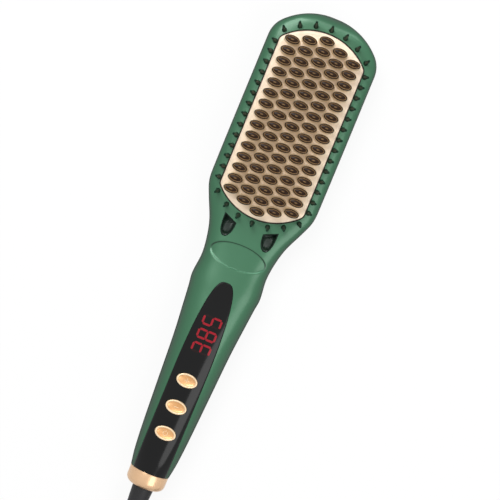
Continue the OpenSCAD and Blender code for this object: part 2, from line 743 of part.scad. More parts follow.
module front_housing() {
    color(green) difference() {
        union() {
            half_shell(true);
            spigot(true);
            for (p = screw_places)
                post(p[0], p[1], screw_boss_r, shape_at(p[1], 4), crown(abs(p[0]) + screw_boss_r, p[1], wall / 2));
        }
        plate_slab(seal_w, plate_under - 3, head_h + 5);
        crown_slab(panel_ys, function(y) panel_half(y, panel_gap), panel_under, 0, flat = grip_h + 8);
        block(display_x - module_l / 2 - 0.3, display_x + module_l / 2 + 0.3,
            display_y - module_w / 2 - 0.4, display_y + module_w / 2 + 0.4, board_z, grip_h + 3);
        block(-button_l / 2 - 1.1, button_l / 2 + 1.1, button_ys[2] - button_w / 2 - 1.1,
            button_ys[0] + button_w / 2 + 1.1, board_z, grip_h + 3);
        for (side = [0, 1]) mirror([side, 0, 0]) port_slab(port_gap, ion_z1 + 1, head_h + 5);
        intersection() {
            crown_slab([for (k = [-8 : 8]) badge_y + badge_w / 2 * k / 8],
                function(y) badge_l / 2, badge_depth, 0, flat = grip_h + 8);
            translate([0, badge_y, 0]) oval_slab(badge_l / 2, badge_w / 2, board_z, grip_h + 9);
        }
        at_pins() {
            translate([0, 0, -collar_seat]) cylinder(r = collar_d / 2 + 0.1, h = 3);
            translate([0, 0, -pin_root - collar_seat]) cylinder(r = pin_root_d / 2 + screw_gap, h = 3);
        }
        for (p = screw_places)
            post(p[0], p[1], screw_d / 2 + screw_gap, shape_at(p[1], 4) - 1, screw_tip(p) + 0.5);
    }
}
badge_y = y_neck + 6.4;

module rear_housing() {
    color(green) difference() {
        union() {
            half_shell(false);
            spigot(false);
            for (p = screw_places) {
                floor_z = sole(abs(p[0]) + head_boss_r, p[1], wall / 2);
                post(p[0], p[1], head_boss_r, floor_z, screw_seat(p) + 1.6);
                post(p[0], p[1], screw_boss_r, floor_z, shape_at(p[1], 4));
            }
            for (x = [-1, 1], y = frame_post_ys) post(x * frame_post_x, y, 2.2, wall / 2, frame_z);
            for (y = shield_rib_ys)
                block(-shield_w / 2, shield_w / 2, y - rib_t / 2, y + rib_t / 2, wall / 2, shield_z);
            for (y = [ion_y0 + 4, ion_y1 - 4], s = rib_parts(ion_w / 2 - 1))
                block(s[0], s[1], y - rib_t / 2, y + rib_t / 2, sole(ion_w / 2 - 1, y, wall / 2), ion_z0);
            block(-board_w / 2 + 1, board_w / 2 - 1, board_rib_ys[0] - rib_t / 2, board_rib_ys[0] + rib_t / 2,
                sole(board_w / 2, board_rib_ys[0], wall / 2), board_under);
            block(-board_w / 2 + 1, board_w / 2 - 1, board_rib_ys[1] - rib_t / 2, board_rib_ys[1] + rib_t / 2,
                sole(board_w / 2, board_rib_ys[1], wall / 2), board_under);
            for (x = [-1, 1])
                post(x * board_screw_x, board_screw_y, 2.2, sole(board_screw_x + 2.2, board_screw_y, wall / 2), board_under);
            block(-5, 5, block_y0 + 1, block_y0 + 1 + rib_t, sole(5, block_y0, wall / 2), axis_z - 2);
        }
        block(-head_w, head_w, -tip, tip, -belly - 5, 0);
        for (p = screw_places) {
            post(p[0], p[1], head_bore_r, -belly - 1, screw_seat(p));
            post(p[0], p[1], screw_d / 2 + screw_gap, -belly, shape_at(p[1], 4) + 1);
        }
        for (x = [-1, 1])
            post(x * board_screw_x, board_screw_y, small_screw_d / 2 + screw_gap, board_under - 7.5, board_under + 1);
    }
}

module end_cuff() {
    r = cuff_d / 2;
    color(gold) turned() difference() {
        union() {
            translate([0, cuff_face_y + cuff_round]) square([r, cuff_len - cuff_round]);
            translate([0, cuff_face_y]) square([r - cuff_round, cuff_len]);
            translate([r - cuff_round, cuff_face_y + cuff_round]) circle(cuff_round);
        }
        translate([-r, cuff_face_y - 1]) square([r + cuff_hole_r, cuff_len + 2]);
        translate([0, cuff_wall_y]) square([cuff_bore_r, cuff_len]);
    }
}

module screw(x, y, seat, tip_z, d, head_d, head_t) {
    post(x, y, d / 2, seat - 0.01, tip_z);
    difference() {
        post(x, y, head_d / 2, seat - head_t, seat);
        for (a = [0, 90]) translate([x, y, seat - head_t]) rotate([0, 0, a])
            cube([head_d * 0.6, 0.7, 1.4], center = true);
    }
}

module housing_screws() {
    color(steel) for (p = screw_places)
        screw(p[0], p[1], screw_seat(p), screw_tip(p), screw_d, screw_head_d, screw_head_t);
}

module screw_plugs() {
    color(green) for (p = screw_places)
        post(p[0], p[1], head_bore_r - 0.05, plug_face(p), screw_seat(p) - screw_head_t - 0.02);
}

/* ---------------------------------------------------------------- bristles */

module guard_pins() {
    tip_len = pin_tip_d / 2;
    color(dark) at_pins() rotate_extrude() {
        polygon([
            [0, 0.02 - pin_root - collar_seat], [pin_root_d / 2, 0.02 - pin_root - collar_seat],
            [pin_root_d / 2, 0.02 - collar_seat], [collar_d / 2, 0.02 - collar_seat], [collar_d / 2, 0.4],
            [pin_d / 2, 1.1], [pin_tip_d / 2, pin_h - tip_len], [pin_tip_d / 3, pin_h - tip_len / 4],
            [0, pin_h]
        ]);
    }
}

function tooth_ring(p, z, inset) = [for (o = oval_points(tooth_l / 2 - inset, tooth_w / 2 - inset, tooth_sides))
    [p[0] + o[0], p[1] + o[1], z]];
module all_teeth(low, high) {
    points = [for (p = teeth, q = concat(tooth_ring(p, low, 0), tooth_ring(p, high, tooth_draft))) q];
    n = tooth_sides;
    faces = [for (t = [0 : len(teeth) - 1])
        let (b = t * 2 * n) each concat(
            [for (k = [0 : n - 1], f = quad(b + k, b + n + k, b + n + (k + 1) % n, b + (k + 1) % n)) f],
            [for (k = [1 : n - 2]) [b, b + k, b + k + 1]],
            [for (k = [1 : n - 2]) [b + n, b + n + k + 1, b + n + k]]
        )];
    polyhedron(points, faces, convexity = 10);
}

module heating_plate() {
    color(gold) difference() {
        union() {
            plate_slab(0, plate_under, plate_top);
            all_teeth(plate_top - 0.5, plate_top + tooth_h);
            for (y = clamp_screw_ys) post(0, y, clamp_boss_r, mica_z, plate_under + 0.5);
            for (x = [-1, 1], y = frame_screw_ys)
                post(x * frame_screw_x, y, frame_boss_r, frame_z + frame_ear_t, plate_under + 0.5);
        }
        for (y = clamp_screw_ys)
            post(0, y, small_screw_d / 2 + screw_gap, mica_z - 1, plate_top - 0.6);
        for (x = [-1, 1], y = frame_screw_ys)
            post(x * frame_screw_x, y, small_screw_d / 2 + screw_gap, frame_z, plate_top - 0.6);
    }
}

module tooth_caps() {
    base = plate_top + tooth_h;
    dome_r = 9;
    color(brown) for (p = teeth) intersection() {
        translate([p[0], p[1], 0])
            oval_slab(tooth_l / 2 - tooth_draft + 0.1, tooth_w / 2 - tooth_draft + 0.1, base, base + cap_h);
        translate([p[0], p[1], base + cap_h - dome_r]) sphere(dome_r);
    }
}

module plate_seal() {
    color(dark) difference() {
        plate_slab(seal_w, plate_under - 0.2, plate_top - seal_sink);
        plate_slab(0, plate_under - 1, plate_top + 1);
    }
}

module plate_frame() {
    inner = -0.4 - frame_rim;
    color(ceramic_white) difference() {
        union() {
            difference() {
                plate_slab(-0.4, frame_z, plate_under);
                plate_slab(inner, frame_z - 1, plate_under + 1);
            }
            for (x = [-1, 1], y = frame_screw_ys) {
                post(x * frame_screw_x, y, frame_boss_r + 0.6, frame_z, frame_z + frame_ear_t);
                block(min(x * frame_screw_x, x * (plate_w / 2 - 1)), max(x * frame_screw_x, x * (plate_w / 2 - 1)),
                    y - frame_boss_r, y + frame_boss_r, frame_z, frame_z + frame_ear_t);
            }
        }
        for (x = [-1, 1], y = frame_screw_ys) {
            post(x * frame_screw_x, y, small_screw_d / 2 + screw_gap, frame_z - 1, frame_z + frame_ear_t + 1);
            post(x * frame_screw_x, y, frame_boss_r + 0.1, frame_z + frame_ear_t, plate_under + 1);
        }
        for (p = screw_places) post(p[0], p[1], screw_boss_r + 0.1, frame_z - 1, plate_under + 1);
    }
}

module frame_screws() {
    color(steel) for (x = [-1, 1], y = frame_screw_ys)
        screw(x * frame_screw_x, y, frame_z, plate_top - 0.7, small_screw_d, small_head_d, small_head_t);
}

/* ---------------------------------------------------------------- heater */

module ceramic_heaters() {
    color(ceramic_white) for (x = [-1, 1])
        block(x * heater_x - heater_w / 2, x * heater_x + heater_w / 2,
            plate_y - heater_len / 2, plate_y + heater_len / 2, heater_z, plate_under);
}

module clamp_sheet(low, high, hole_r) {
    difference() {
        block(-clamp_w / 2, clamp_w / 2, plate_y - clamp_len / 2, plate_y + clamp_len / 2, low, high);
        for (y = clamp_screw_ys) post(0, y, hole_r, low - 1, high + 1);
    }
}

module mica_sheet() {
    color("silver") clamp_sheet(mica_z, heater_z, clamp_boss_r + 0.1);
}

module heater_clamp() {
    color(steel) clamp_sheet(clamp_z, mica_z, small_screw_d / 2 + screw_gap);
}

module clamp_screws() {
    color(steel) for (y = clamp_screw_ys)
        screw(0, y, clamp_z, plate_top - 0.7, small_screw_d, small_head_d, small_head_t);
}

module thermal_fuse() {
    r = 2;
    color(ceramic_white) translate([0, plate_y + 12, clamp_z - r]) rotate([-90, 0, 0]) cylinder(r = r, h = 12);
}

module temperature_sensor() {
    r = 1.3;
    color(brown) translate([0, sensor_y, clamp_z - r]) rotate([-90, 0, 0]) {
        cylinder(r = r, h = 5);
        translate([0, 0, 5]) sphere(r);
    }
}

module heat_shield() {
    color("silver") block(-shield_w / 2, shield_w / 2, plate_y - shield_reach, plate_y + shield_reach, shield_z, shield_z + shield_t);
}

/* ---------------------------------------------------------------- neck */

module ion_port() {
    difference() {
        port_slab(0, ion_z1, port_top_z);
        // The floor rises from the deep end at the top of the port to its lowest point
        intersection() {
            port_slab(-port_rim, ion_z1, port_top_z + 1);
            translate([0, port_low_y, port_top_z - 0.5]) rotate([-atan(port_depth / port_span), 0, 0])
                translate([0, -5, 0]) cube([40, 30, 20]);
        }
        post(needle_x, needle_y, needle_hole_d / 2, ion_z1 - 1, port_top_z);
    }
}
module ion_port_left() { color(dark) mirror([1, 0, 0]) ion_port(); }
module ion_port_right() { color(dark) ion_port(); }

module ion_module() {
    color(dark) block(-ion_w / 2, ion_w / 2, ion_y0, ion_y1, ion_z0, ion_z1);
}

module ion_needles() {
    color(steel) for (x = [-1, 1]) translate([x * needle_x, needle_y, ion_z1]) {
        cylinder(d = needle_d, h = port_depth - 1);
        translate([0, 0, port_depth - 1]) cylinder(d1 = needle_d, d2 = 0.1, h = 1.2);
    }
}

/* ---------------------------------------------------------------- panel */

module control_panel() {
    color(gloss_black) difference() {
        crown_slab(panel_ys, function(y) panel_half(y), panel_under - seat_play, -panel_proud);
        digit_bars(module_top, grip_h + 5);
        for (y = button_ys) translate([0, y, 0])
            oval_slab(button_l / 2 + button_gap, button_w / 2 + button_gap, board_z, grip_h + 5);
    }
}

module display_segments() {
    color("red") intersection() {
        digit_bars(module_top, grip_h + 5);
        crown_slab([for (k = [0 : 6]) display_y + (k / 3 - 1) * module_w / 2], function(y) module_l / 2, 6, -panel_proud, cells = 6);
    }
}

module display_module() {
    color(gloss_black) block(display_x - module_l / 2, display_x + module_l / 2,
        display_y - module_w / 2, display_y + module_w / 2, board_z, module_top);
}

module button_cap(y) {
    top = button_top(y);
    dish_r = 22;
    color(gold) translate([0, y, 0]) difference() {
        union() {
            oval_slab(button_l / 2, button_w / 2, flange_z(y) + flange_t / 2, top);
            oval_slab(button_l / 2 + flange_rim, button_w / 2 + flange_rim, flange_z(y), flange_z(y) + flange_t);
            post(0, 0, plunger_d / 2, plunger_top(y), flange_z(y) + flange_t / 4);
        }
        translate([0, 0, top - 0.8 + dish_r]) sphere(dish_r);
    }
}
module temp_up_button() { button_cap(button_ys[0]); }
module temp_down_button() { button_cap(button_ys[1]); }
module power_button() { button_cap(button_ys[2]); }

module plunger(y) {
    low = board_z + switch_h - button_travel - 0.3;
    color(dark) post(0, y, plunger_d / 2, low, plunger_top(y));
}
module temp_up_plunger() { plunger(button_ys[0]); }
module temp_down_plunger() { plunger(button_ys[1]); }
module power_plunger() { plunger(button_ys[2]); }

module tact_switches() {
    half = 3;
    color(steel) for (y = button_ys) difference() {
        block(-half, half, y - half, y + half, board_z, board_z + switch_h);
        post(0, y, plunger_d / 2 + 0.05, board_z + switch_h - 2 * button_travel - 0.5, board_z + switch_h + 1);
    }
}

/* ---------------------------------------------------------------- electronics */

module main_board() {
    color(board_green) difference() {
        block(-board_w / 2, board_w / 2, board_end_y, board_top_y, board_under, board_z);
        for (x = [-1, 1]) post(x * board_screw_x, board_screw_y, small_screw_d / 2 + screw_gap, board_under - 1, board_z + 1);
    }
}

module board_screws() {
    color(steel) for (x = [-1, 1]) translate([0, 0, 2 * board_z]) mirror([0, 0, 1])
        screw(x * board_screw_x, board_screw_y, board_z, board_z + board_t + 7, small_screw_d, small_head_d, small_head_t);
}

module controller_chip() {
    color(gloss_black) block(-4, 4, display_y - 5, display_y + 3, board_under - 1.6, board_under);
}

module power_capacitor() {
    color("goldenrod") block(-6, 6, part_y(0.58), part_y(0.77), board_under - 9, board_under);
}

module triac() {
    color(gloss_black) block(-6.5, -0.5, part_y(0.05), part_y(0.33), board_under - 4.5, board_under);
}

module line_fuse() {
    r = 2.2;
    color(ceramic_white) translate([3.5, parts_y, board_under - r]) rotate([-90, 0, 0])
        cylinder(r = r, h = parts_len / 2);
}

/* ---------------------------------------------------------------- swivel */

module swivel_socket() {
    color(dark) turned() {
        ring_2d(spindle_d / 2 + swivel_gap, socket_d / 2 - 0.02, spigot_y, socket_in_y);
        ring_2d(spindle_d / 2 + swivel_gap, socket_flange_r, flange_in_y, flange_in_y + 2);
    }
}

module swivel_spindle() {
    color(ceramic_white) turned() {
        ring_2d(0, spindle_d / 2, spigot_y - 0.4, socket_in_y + 0.2);
        ring_2d(0, spindle_core_r, spindle_out_y, spigot_y);
        ring_2d(0, spindle_flange_r, socket_in_y + 0.1, spindle_in_y);
        ring_2d(0, stem_r, spindle_in_y - 0.1, stem_end_y);
    }
}

module slip_rings() {
    color(copper) turned() for (k = [0, 1])
        ring_2d(stem_r, ring_rs[k], ring_ys_in[k], ring_ys_in[k] + ring_len);
}

module contact_block() {
    color(ceramic_white) block(-5, 5, block_y0, block_y1, axis_z - 2, axis_z + 2);
}

module contact_springs() {
    color(copper) for (k = [0, 1]) {
        side = k == 0 ? 1 : -1;
        near = ring_rs[k] + contact_gap;
        x0 = side > 0 ? near : -near - strip_t;
        block(x0, x0 + strip_t, ring_ys_in[k], block_y0, axis_z - 0.8, axis_z + 0.8);
    }
}

module cord_boot() {
    inner_y = spigot_y - 0.4;
    flange_y = cuff_wall_y + 0.05;
    taper = (boot_d - boot_tip_d) / 2 / boot_len;
    first = 14;
    groove_pitch = (boot_len - first - 4) / boot_grooves;
    color(gloss_black) turned() difference() {
        polygon([
            [0, boot_end_y], [boot_tip_d / 2, boot_end_y], [boot_d / 2, cuff_face_y],
            [boot_d / 2, flange_y], [boot_d / 2 + 1.5, flange_y], [boot_d / 2 + 1.5, inner_y],
            [spindle_core_r, inner_y], [spindle_core_r, spindle_out_y], [0, spindle_out_y]
        ]);
        for (k = [0 : boot_grooves - 1]) {
            y = cuff_face_y - first - k * groove_pitch;
            r = boot_d / 2 - taper * (cuff_face_y - y);
            translate([r - 0.7, y - 1.2]) square([2, 1.2]);
        }
    }
}

/* ---------------------------------------------------------------- wires inside */

wire_r = 0.8;
module wires(routes) {
    for (r = routes) tube(r, wire_r, 6, up = [1, 0, 0.01]);
}

module heater_leads() {
    y0 = plate_y - heater_len / 2;
    color("firebrick") wires([for (x = [-1, 1]) [
        [x * lead_x, y0, heater_z + heater_t / 2], [x * lead_x, y0 - 2.5, heater_z + heater_t / 2],
        [x * lead_x, y0 - 4.5, heater_z - 2], [x * lead_x, y0 - 6, frame_z - 5], [x * lead_x, y0 - 12, 6.6],
        [x * lead_x, y0 - 20, 5.4], [x * lead_x, ion_y0, 5.4], [x * 9, ion_y0 - 10, 6.4],
        [x * 7, board_top_y + 7, 12], [x * 6, board_top_y + 3.5, board_under - 1], [x * 6, board_top_y + 2, board_under + 0.8],
        [x * 6, board_top_y, board_under + 0.8]
    ]]);
}

module sensor_leads() {
    y0 = sensor_y;
    color("white") wires([[
        [0, y0, clamp_z - 1.3], [0, y0 - 3, clamp_z - 1.3], [0, y0 - 7, clamp_z - 4], [0, y0 - 16, 9],
        [0, y0 - 27, 7.6], [0, plate_low_y, 5.6], [0, ion_y0, 5.6], [0, ion_y0 - 10, 6.6],
        [0, board_top_y + 7, 13], [0, board_top_y + 3.5, board_under - 1], [0, board_top_y + 2, board_under + 0.8],
        [0, board_top_y, board_under + 0.8]
    ]]);
}

module ion_leads() {
    color("royalblue") wires([for (x = [-3, 3]) [
        [x, ion_y0, ion_z0 + 4], [x, ion_y0 - 4, ion_z0 + 4], [x, ion_y0 - 12, ion_z0 + 6],
        [x, board_top_y + 6, board_under - 1.5], [x, board_top_y + 2.5, board_under + 0.8],
        [x, board_top_y, board_under + 0.8]
    ]]);
}

module mains_leads() {
    y = (block_y0 + block_y1) / 2;
    low = axis_z + 2;
    color("saddlebrown") wires([for (x = [-3, 3]) [
        [x, y, low], [x, y, low + 0.8], [x, y + 0.4, (low + board_under) / 2], [x, y, board_under - 0.8],
        [x, y, board_under]
    ]]);
}

/* ---------------------------------------------------------------- cord and plug */

module cord_lead() { color(gloss_black) tube(lead_route, cord_r, 10); }
module cord_coil() { color(gloss_black) tube(coil_route, cord_r, 6); }
module cord_tail() { color(gloss_black) tube(tail_route, cord_r, 10); }

module cord_tie() {
    angle = 250;
    mid_r = coil_r - coil_step * coil_turns / 4;
    half_l = coil_step * coil_turns / 4 + cord_r + 1;
    low = 0.1;
    high = coil_z + coil_step + cord_r + 0.6;
    strap = 0.4;
    width = 9;
    color(dark) translate([coil_x, coil_y, 0]) rotate([0, 0, angle]) translate([mid_r, 0, 0]) difference() {
        block(-half_l - strap, half_l + strap, -width / 2, width / 2, low, high + strap);
        block(-half_l, half_l, -width, width, low + strap, high);
    }
}

module plug_body() {
    narrow = plug_w * 0.34;
    edge = 2;
    outline = [
        [-plug_w / 2, plug_y1], [-plug_w / 2, plug_y1 - 5], [-narrow, plug_y0 + 7], [-narrow + 2, plug_y0],
        [narrow - 2, plug_y0], [narrow, plug_y0 + 7], [plug_w / 2, plug_y1 - 5], [plug_w / 2, plug_y1]
    ];
    color(gloss_black) translate([plug_x, 0, plug_z]) {
        translate([0, 0, -plug_t / 2 + 0.05]) linear_extrude(plug_t - 0.1) polygon(outline);
        rotate([-90, 0, 0]) rotate_extrude() polygon([
            [0, plug_relief_y], [cord_r + 0.7, plug_relief_y], [5.4, plug_y0 + 1], [0, plug_y0 + 1]
        ]);
    }
}

module plug_pins() {
    color(steel) for (x = [-1, 1]) translate([plug_x + x * plug_pin_pitch / 2, plug_y1, plug_z]) rotate([-90, 0, 0]) {
        cylinder(d = plug_pin_d, h = plug_pin_len - plug_pin_d / 2);
        translate([0, 0, plug_pin_len - plug_pin_d / 2]) sphere(d = plug_pin_d);
    }
}

front_housing();
rear_housing();
end_cuff();
control_panel();
guard_pins();
ion_port_left();
ion_port_right();
heating_plate();
tooth_caps();
plate_seal();
plate_frame();
frame_screws();
ceramic_heaters();
mica_sheet();
heater_clamp();
clamp_screws();
thermal_fuse();
temperature_sensor();
heat_shield();
main_board();
board_screws();
display_module();
display_segments();
tact_switches();
controller_chip();
power_capacitor();
triac();
line_fuse();
ion_module();
ion_needles();
temp_up_button();
temp_down_button();
power_button();
temp_up_plunger();
temp_down_plunger();
power_plunger();
swivel_socket();
swivel_spindle();
slip_rings();
contact_block();
contact_springs();
cord_boot();
heater_leads();
sensor_leads();
ion_leads();
mains_leads();
housing_screws();
screw_plugs();
cord_lead();
cord_coil();
cord_tail();
cord_tie();
plug_body();
plug_pins();
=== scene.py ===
"""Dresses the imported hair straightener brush: smooth housings, a gold plate with capped teeth, guard pins,
a gloss panel with a red display and three buttons, a plated cuff and a coiled mains cord, on a white table."""

import json
import math

import bmesh
import bpy
import numpy as np
from mathutils import Matrix, Vector


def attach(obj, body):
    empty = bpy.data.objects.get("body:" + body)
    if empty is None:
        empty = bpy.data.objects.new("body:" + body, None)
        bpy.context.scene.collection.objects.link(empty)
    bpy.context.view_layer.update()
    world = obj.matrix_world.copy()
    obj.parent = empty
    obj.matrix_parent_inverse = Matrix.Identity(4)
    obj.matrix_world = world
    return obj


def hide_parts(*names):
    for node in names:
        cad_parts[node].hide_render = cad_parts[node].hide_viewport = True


bl_info = {
    "name": "Hair Straightener Brush Finishes",
    "version": (1, 0, 0),
    "blender": (4, 5, 0),
    "location": "View3D > Sidebar > Brush",
    "description": "Builds the smooth pieces and finishes of a hair straightener brush on its packed frame",
    "category": "Object",
}

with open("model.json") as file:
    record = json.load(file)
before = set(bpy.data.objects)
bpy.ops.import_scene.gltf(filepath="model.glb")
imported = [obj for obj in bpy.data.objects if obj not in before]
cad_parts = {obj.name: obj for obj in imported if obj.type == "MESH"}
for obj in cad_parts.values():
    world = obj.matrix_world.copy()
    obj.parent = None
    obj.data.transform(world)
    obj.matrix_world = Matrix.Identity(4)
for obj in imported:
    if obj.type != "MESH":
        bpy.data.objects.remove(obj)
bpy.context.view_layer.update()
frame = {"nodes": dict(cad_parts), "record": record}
RECORD = frame["record"]

# ------------------------------------------------------------------ sizes, in millimetres, as in the part's source
BODY_LEN, HEAD_LEN, NECK_LEN, SHOULDER_DROP = 288.0, 104.0, 48.0, 12.0
HEAD_W, HEAD_H, NECK_W, SHOULDER_W, GRIP_W, GRIP_H = 64.9, 24.0, 39.8, 41.8, 31.5, 29.4
WAIST_LIFT, TIP_R, CORNER_R, NOSE_R, WALL, BELLY = 2.0, 39.5, 15.2, 9.0, 2.2, 0.4
HEAD_SEAM, AXIS_Z, CUFF_LEN, CUFF_D, CUFF_ROUND = 12.0, 14.6, 9.7, 22.9, 4.1
PLATE_LEN, PLATE_MARGIN, PLATE_CORNER_R, PLATE_SINK, SEAL_W, SEAL_SINK = 111.2, 10.6, 4.0, 0.3, 0.7, 0.75
TOOTH_W, TOOTH_H, TOOTH_DRAFT, CAP_H, TOOTH_PITCH, MIDDLE_TEETH = 5.3, 9.0, 0.4, 3.0, 6.4, 17
PIN_H, PIN_D, PIN_TIP_D, COLLAR_D, PIN_PITCH, PIN_OFFSET = 11.5, 2.3, 1.3, 2.9, 6.35, 1.9
SIDE_PINS, END_PIN_STEP, END_PIN_GAP, PIN_LEAN = 14, 14.1, 0.85, 8.0
PORT_X, PORT_DROP, PORT_DEPTH, PORT_LEN = 12.4, 15.4, 5.0, 14
BADGE_L, BADGE_W, BADGE_DEPTH = 33.4, 14.3, 0.5
PANEL_W, PANEL_PROUD, PANEL_T, PANEL_GAP = 19.5, 0.3, 1.3, 0.15
BUTTON_L, BUTTON_W, BUTTON_PROUD, BUTTON_GAP = 12.3, 7.9, 0.9, 0.25
DIGIT_H, DIGIT_W, DIGIT_PITCH, BAR_W, BAR_GAP, DISPLAY_X = 11.4, 6.0, 8.1, 1.2, 0.15, 0.5
BOOT_LEN, BOOT_D, BOOT_TIP_D, BOOT_GROOVES = 38.0, 12.5, 7.4, 5
CORD_D, PLUG_LEN, PLUG_PIN_D, PLUG_PIN_LEN, PLUG_PIN_PITCH = 5.6, 30.0, 4.0, 19.0, 19.0

# Sizes that follow the ones above: plate and teeth follow the head's width, panel and buttons the grip's length
PLATE_W = 0.7797 * HEAD_W
PLATE_END_R, TOOTH_L, COLUMN_PITCH = 0.6719 * PLATE_W, 0.1838 * PLATE_W, 0.1804 * PLATE_W
TIP = BODY_LEN / 2
Y_HEAD = TIP - HEAD_LEN
Y_NECK = Y_HEAD - NECK_LEN
Y_SHOULDER = Y_NECK - SHOULDER_DROP
Y_END = -TIP + CUFF_LEN
END_R = CUFF_D / 2 + 0.15
PLATE_TOP = HEAD_H - PLATE_SINK
PLATE_Y = TIP - PLATE_MARGIN - PLATE_LEN / 2
PLATE_LOW_Y = PLATE_Y - PLATE_LEN / 2
BADGE_Y = Y_NECK + 6.4
PANEL_LEN = 1.0254 * (Y_SHOULDER - Y_END)
PANEL_TIP_LEN = 0.4693 * PANEL_LEN
PANEL_TIP_Y = Y_END + PANEL_LEN
BUTTON_YS = [Y_END + (0.3558 + k * 0.1378) * PANEL_LEN for k in (1, 0, -1)]
DISPLAY_Y = Y_END + 0.7304 * PANEL_LEN
NOSE_POWER = 2.4
BRUSH, SWIVEL = "brush", "cord_swivel"
MM = 0.001


def mix(a, b, f):
    """From a to b by the share f."""
    return a + (b - a) * f


# ------------------------------------------------------------------ the housing's skin
def neck_row(f, wide, rise, lift, seam, up, low):
    """A row between head and neck, each value a share of the way between the sizes there."""
    return [mix(Y_HEAD, Y_NECK, f), mix(NECK_W, HEAD_W, wide) / 2, mix(HEAD_H, GRIP_H, rise),
            mix(-BELLY, WAIST_LIFT, lift), mix(HEAD_SEAM, AXIS_Z, seam), up, low]


def grip_row(f, wide, rise, lift, seam, up, low):
    """A row between the shoulder and the full grip."""
    return [mix(Y_SHOULDER, Y_END, f), mix(GRIP_W, SHOULDER_W, wide) / 2, mix(HEAD_H, GRIP_H, rise),
            mix(-BELLY, WAIST_LIFT, lift), mix(HEAD_SEAM, AXIS_Z, seam), up, low]


def end_row(f, share, up, low):
    """A row where the grip turns round towards the cuff."""
    return [mix(Y_SHOULDER, Y_END, f), mix(END_R, GRIP_W / 2, share), mix(AXIS_Z + END_R, GRIP_H, share),
            mix(AXIS_Z - END_R, -BELLY, share), AXIS_Z, up, low]


# Each row gives y, half width, top, bottom, parting line and the powers above and below it
ROWS = np.array([
    [TIP, HEAD_W / 2, HEAD_H, -BELLY, HEAD_SEAM, 6, 5],
    neck_row(0, 1, 0, 0, 0, 6, 5),
    neck_row(0.167, 0.944, 0.01, 0.08, 0.01, 5.9, 4.9),
    neck_row(0.333, 0.701, 0.03, 0.29, 0.05, 5.4, 4.5),
    neck_row(0.583, 0.283, 0.10, 0.67, 0.15, 4.4, 3.8),
    neck_row(0.792, 0.084, 0.19, 0.92, 0.28, 3.7, 3.3),
    neck_row(1, 0, 0.31, 1, 0.40, 3.3, 3),
    grip_row(0, 1, 0.50, 0.88, 0.55, 2.9, 2.7),
    grip_row(0.061, 0.845, 0.59, 0.75, 0.62, 2.8, 2.6),
    grip_row(0.14, 0.67, 0.72, 0.58, 0.72, 2.7, 2.5),
    grip_row(0.315, 0.311, 0.91, 0.25, 0.88, 2.5, 2.4),
    grip_row(0.56, 0, 1, 0.03, 1, 2.4, 2.35),
    end_row(0.805, 0.602, 2.3, 2.25),
    end_row(0.927, 0.313, 2.15, 2.1),
    end_row(1, 0, 2, 2),
])
SLOPES = np.array([
    (ROWS[min(i + 1, len(ROWS) - 1)] - ROWS[max(i - 1, 0)])
    / (ROWS[min(i + 1, len(ROWS) - 1)][0] - ROWS[max(i - 1, 0)][0])
    for i in range(len(ROWS))
])
CORNER_X = HEAD_W / 2 - CORNER_R
ARC_Y = TIP - TIP_R
CORNER_Y = ARC_Y + math.sqrt((TIP_R - CORNER_R) ** 2 - CORNER_X**2)


def shape_at(y, column):
    """Cubic curve through the rows' values in one column."""
    y = np.asarray(y, float)
    i = np.clip(np.searchsorted(-ROWS[:, 0], -y, side="left") - 1, 0, len(ROWS) - 2)
    h = ROWS[i + 1, 0] - ROWS[i, 0]
    t = (y - ROWS[i, 0]) / h
    return ((2 * t**3 - 3 * t**2 + 1) * ROWS[i, column] + (t**3 - 2 * t**2 + t) * h * SLOPES[i, column]
            + (3 * t**2 - 2 * t**3) * ROWS[i + 1, column] + (t**3 - t**2) * h * SLOPES[i + 1, column])


def half_width(y, g=0.0):
    """Half of the width at y, at depth g under the skin."""
    y = np.asarray(y, float)
    meets = CORNER_Y + (CORNER_R - g) * (CORNER_Y - ARC_Y) / (TIP_R - CORNER_R)
    corner = CORNER_X + np.sqrt(np.maximum(0, (CORNER_R - g) ** 2 - (y - CORNER_Y) ** 2))
    arch = np.sqrt(np.maximum(0, (TIP_R - g) ** 2 - (y - ARC_Y) ** 2))
    return np.where(y <= CORNER_Y, shape_at(y, 1) - g, np.where(y <= meets, corner, arch))


def nose(y, g=0.0):
    """Share of the full height that is left towards the tip."""
    d = np.clip((TIP - g - np.asarray(y, float)) / (NOSE_R - g / 2), 0, 1)
    return (1 - (1 - d) ** NOSE_POWER) ** (1 / NOSE_POWER)


def crown(x, y, g=0.0):
    """Height of the upper skin at x, y, at depth g."""
    n, seam = shape_at(y, 5), shape_at(y, 4)
    share = np.minimum(1, np.abs(x) / np.maximum(half_width(y, g), 1e-6))
    return seam + (shape_at(y, 2) - seam - g) * nose(y, g) * (1 - share**n) ** (1 / n)


def soft_step(t):
    """0 to 1 with level ends."""
    t = np.clip(t, 0, 1)
    return t * t * (3 - 2 * t)


# ------------------------------------------------------------------ meshes
def mesh_of(name, points, faces):
    """A mesh from points in millimetres."""
    mesh = bpy.data.meshes.new(name)
    mesh.from_pydata((np.asarray(points, float) * MM).tolist(), [], [list(map(int, f)) for f in faces])
    return mesh


def piece(name, points, faces, finishes, node, slot, body=BRUSH, sharp=32.0):
    """An object that rides on a body and stands for one or more CAD nodes."""
    mesh = mesh_of(name, points, faces)
    mesh.validate()
    obj = bpy.data.objects.new(name, mesh)
    bpy.context.scene.collection.objects.link(obj)
    for material in finishes if isinstance(finishes, list) else [finishes]:
        mesh.materials.append(material)
    settle(obj, sharp)
    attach(obj, body)
    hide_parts(*([node] if isinstance(node, str) else node))
    return obj


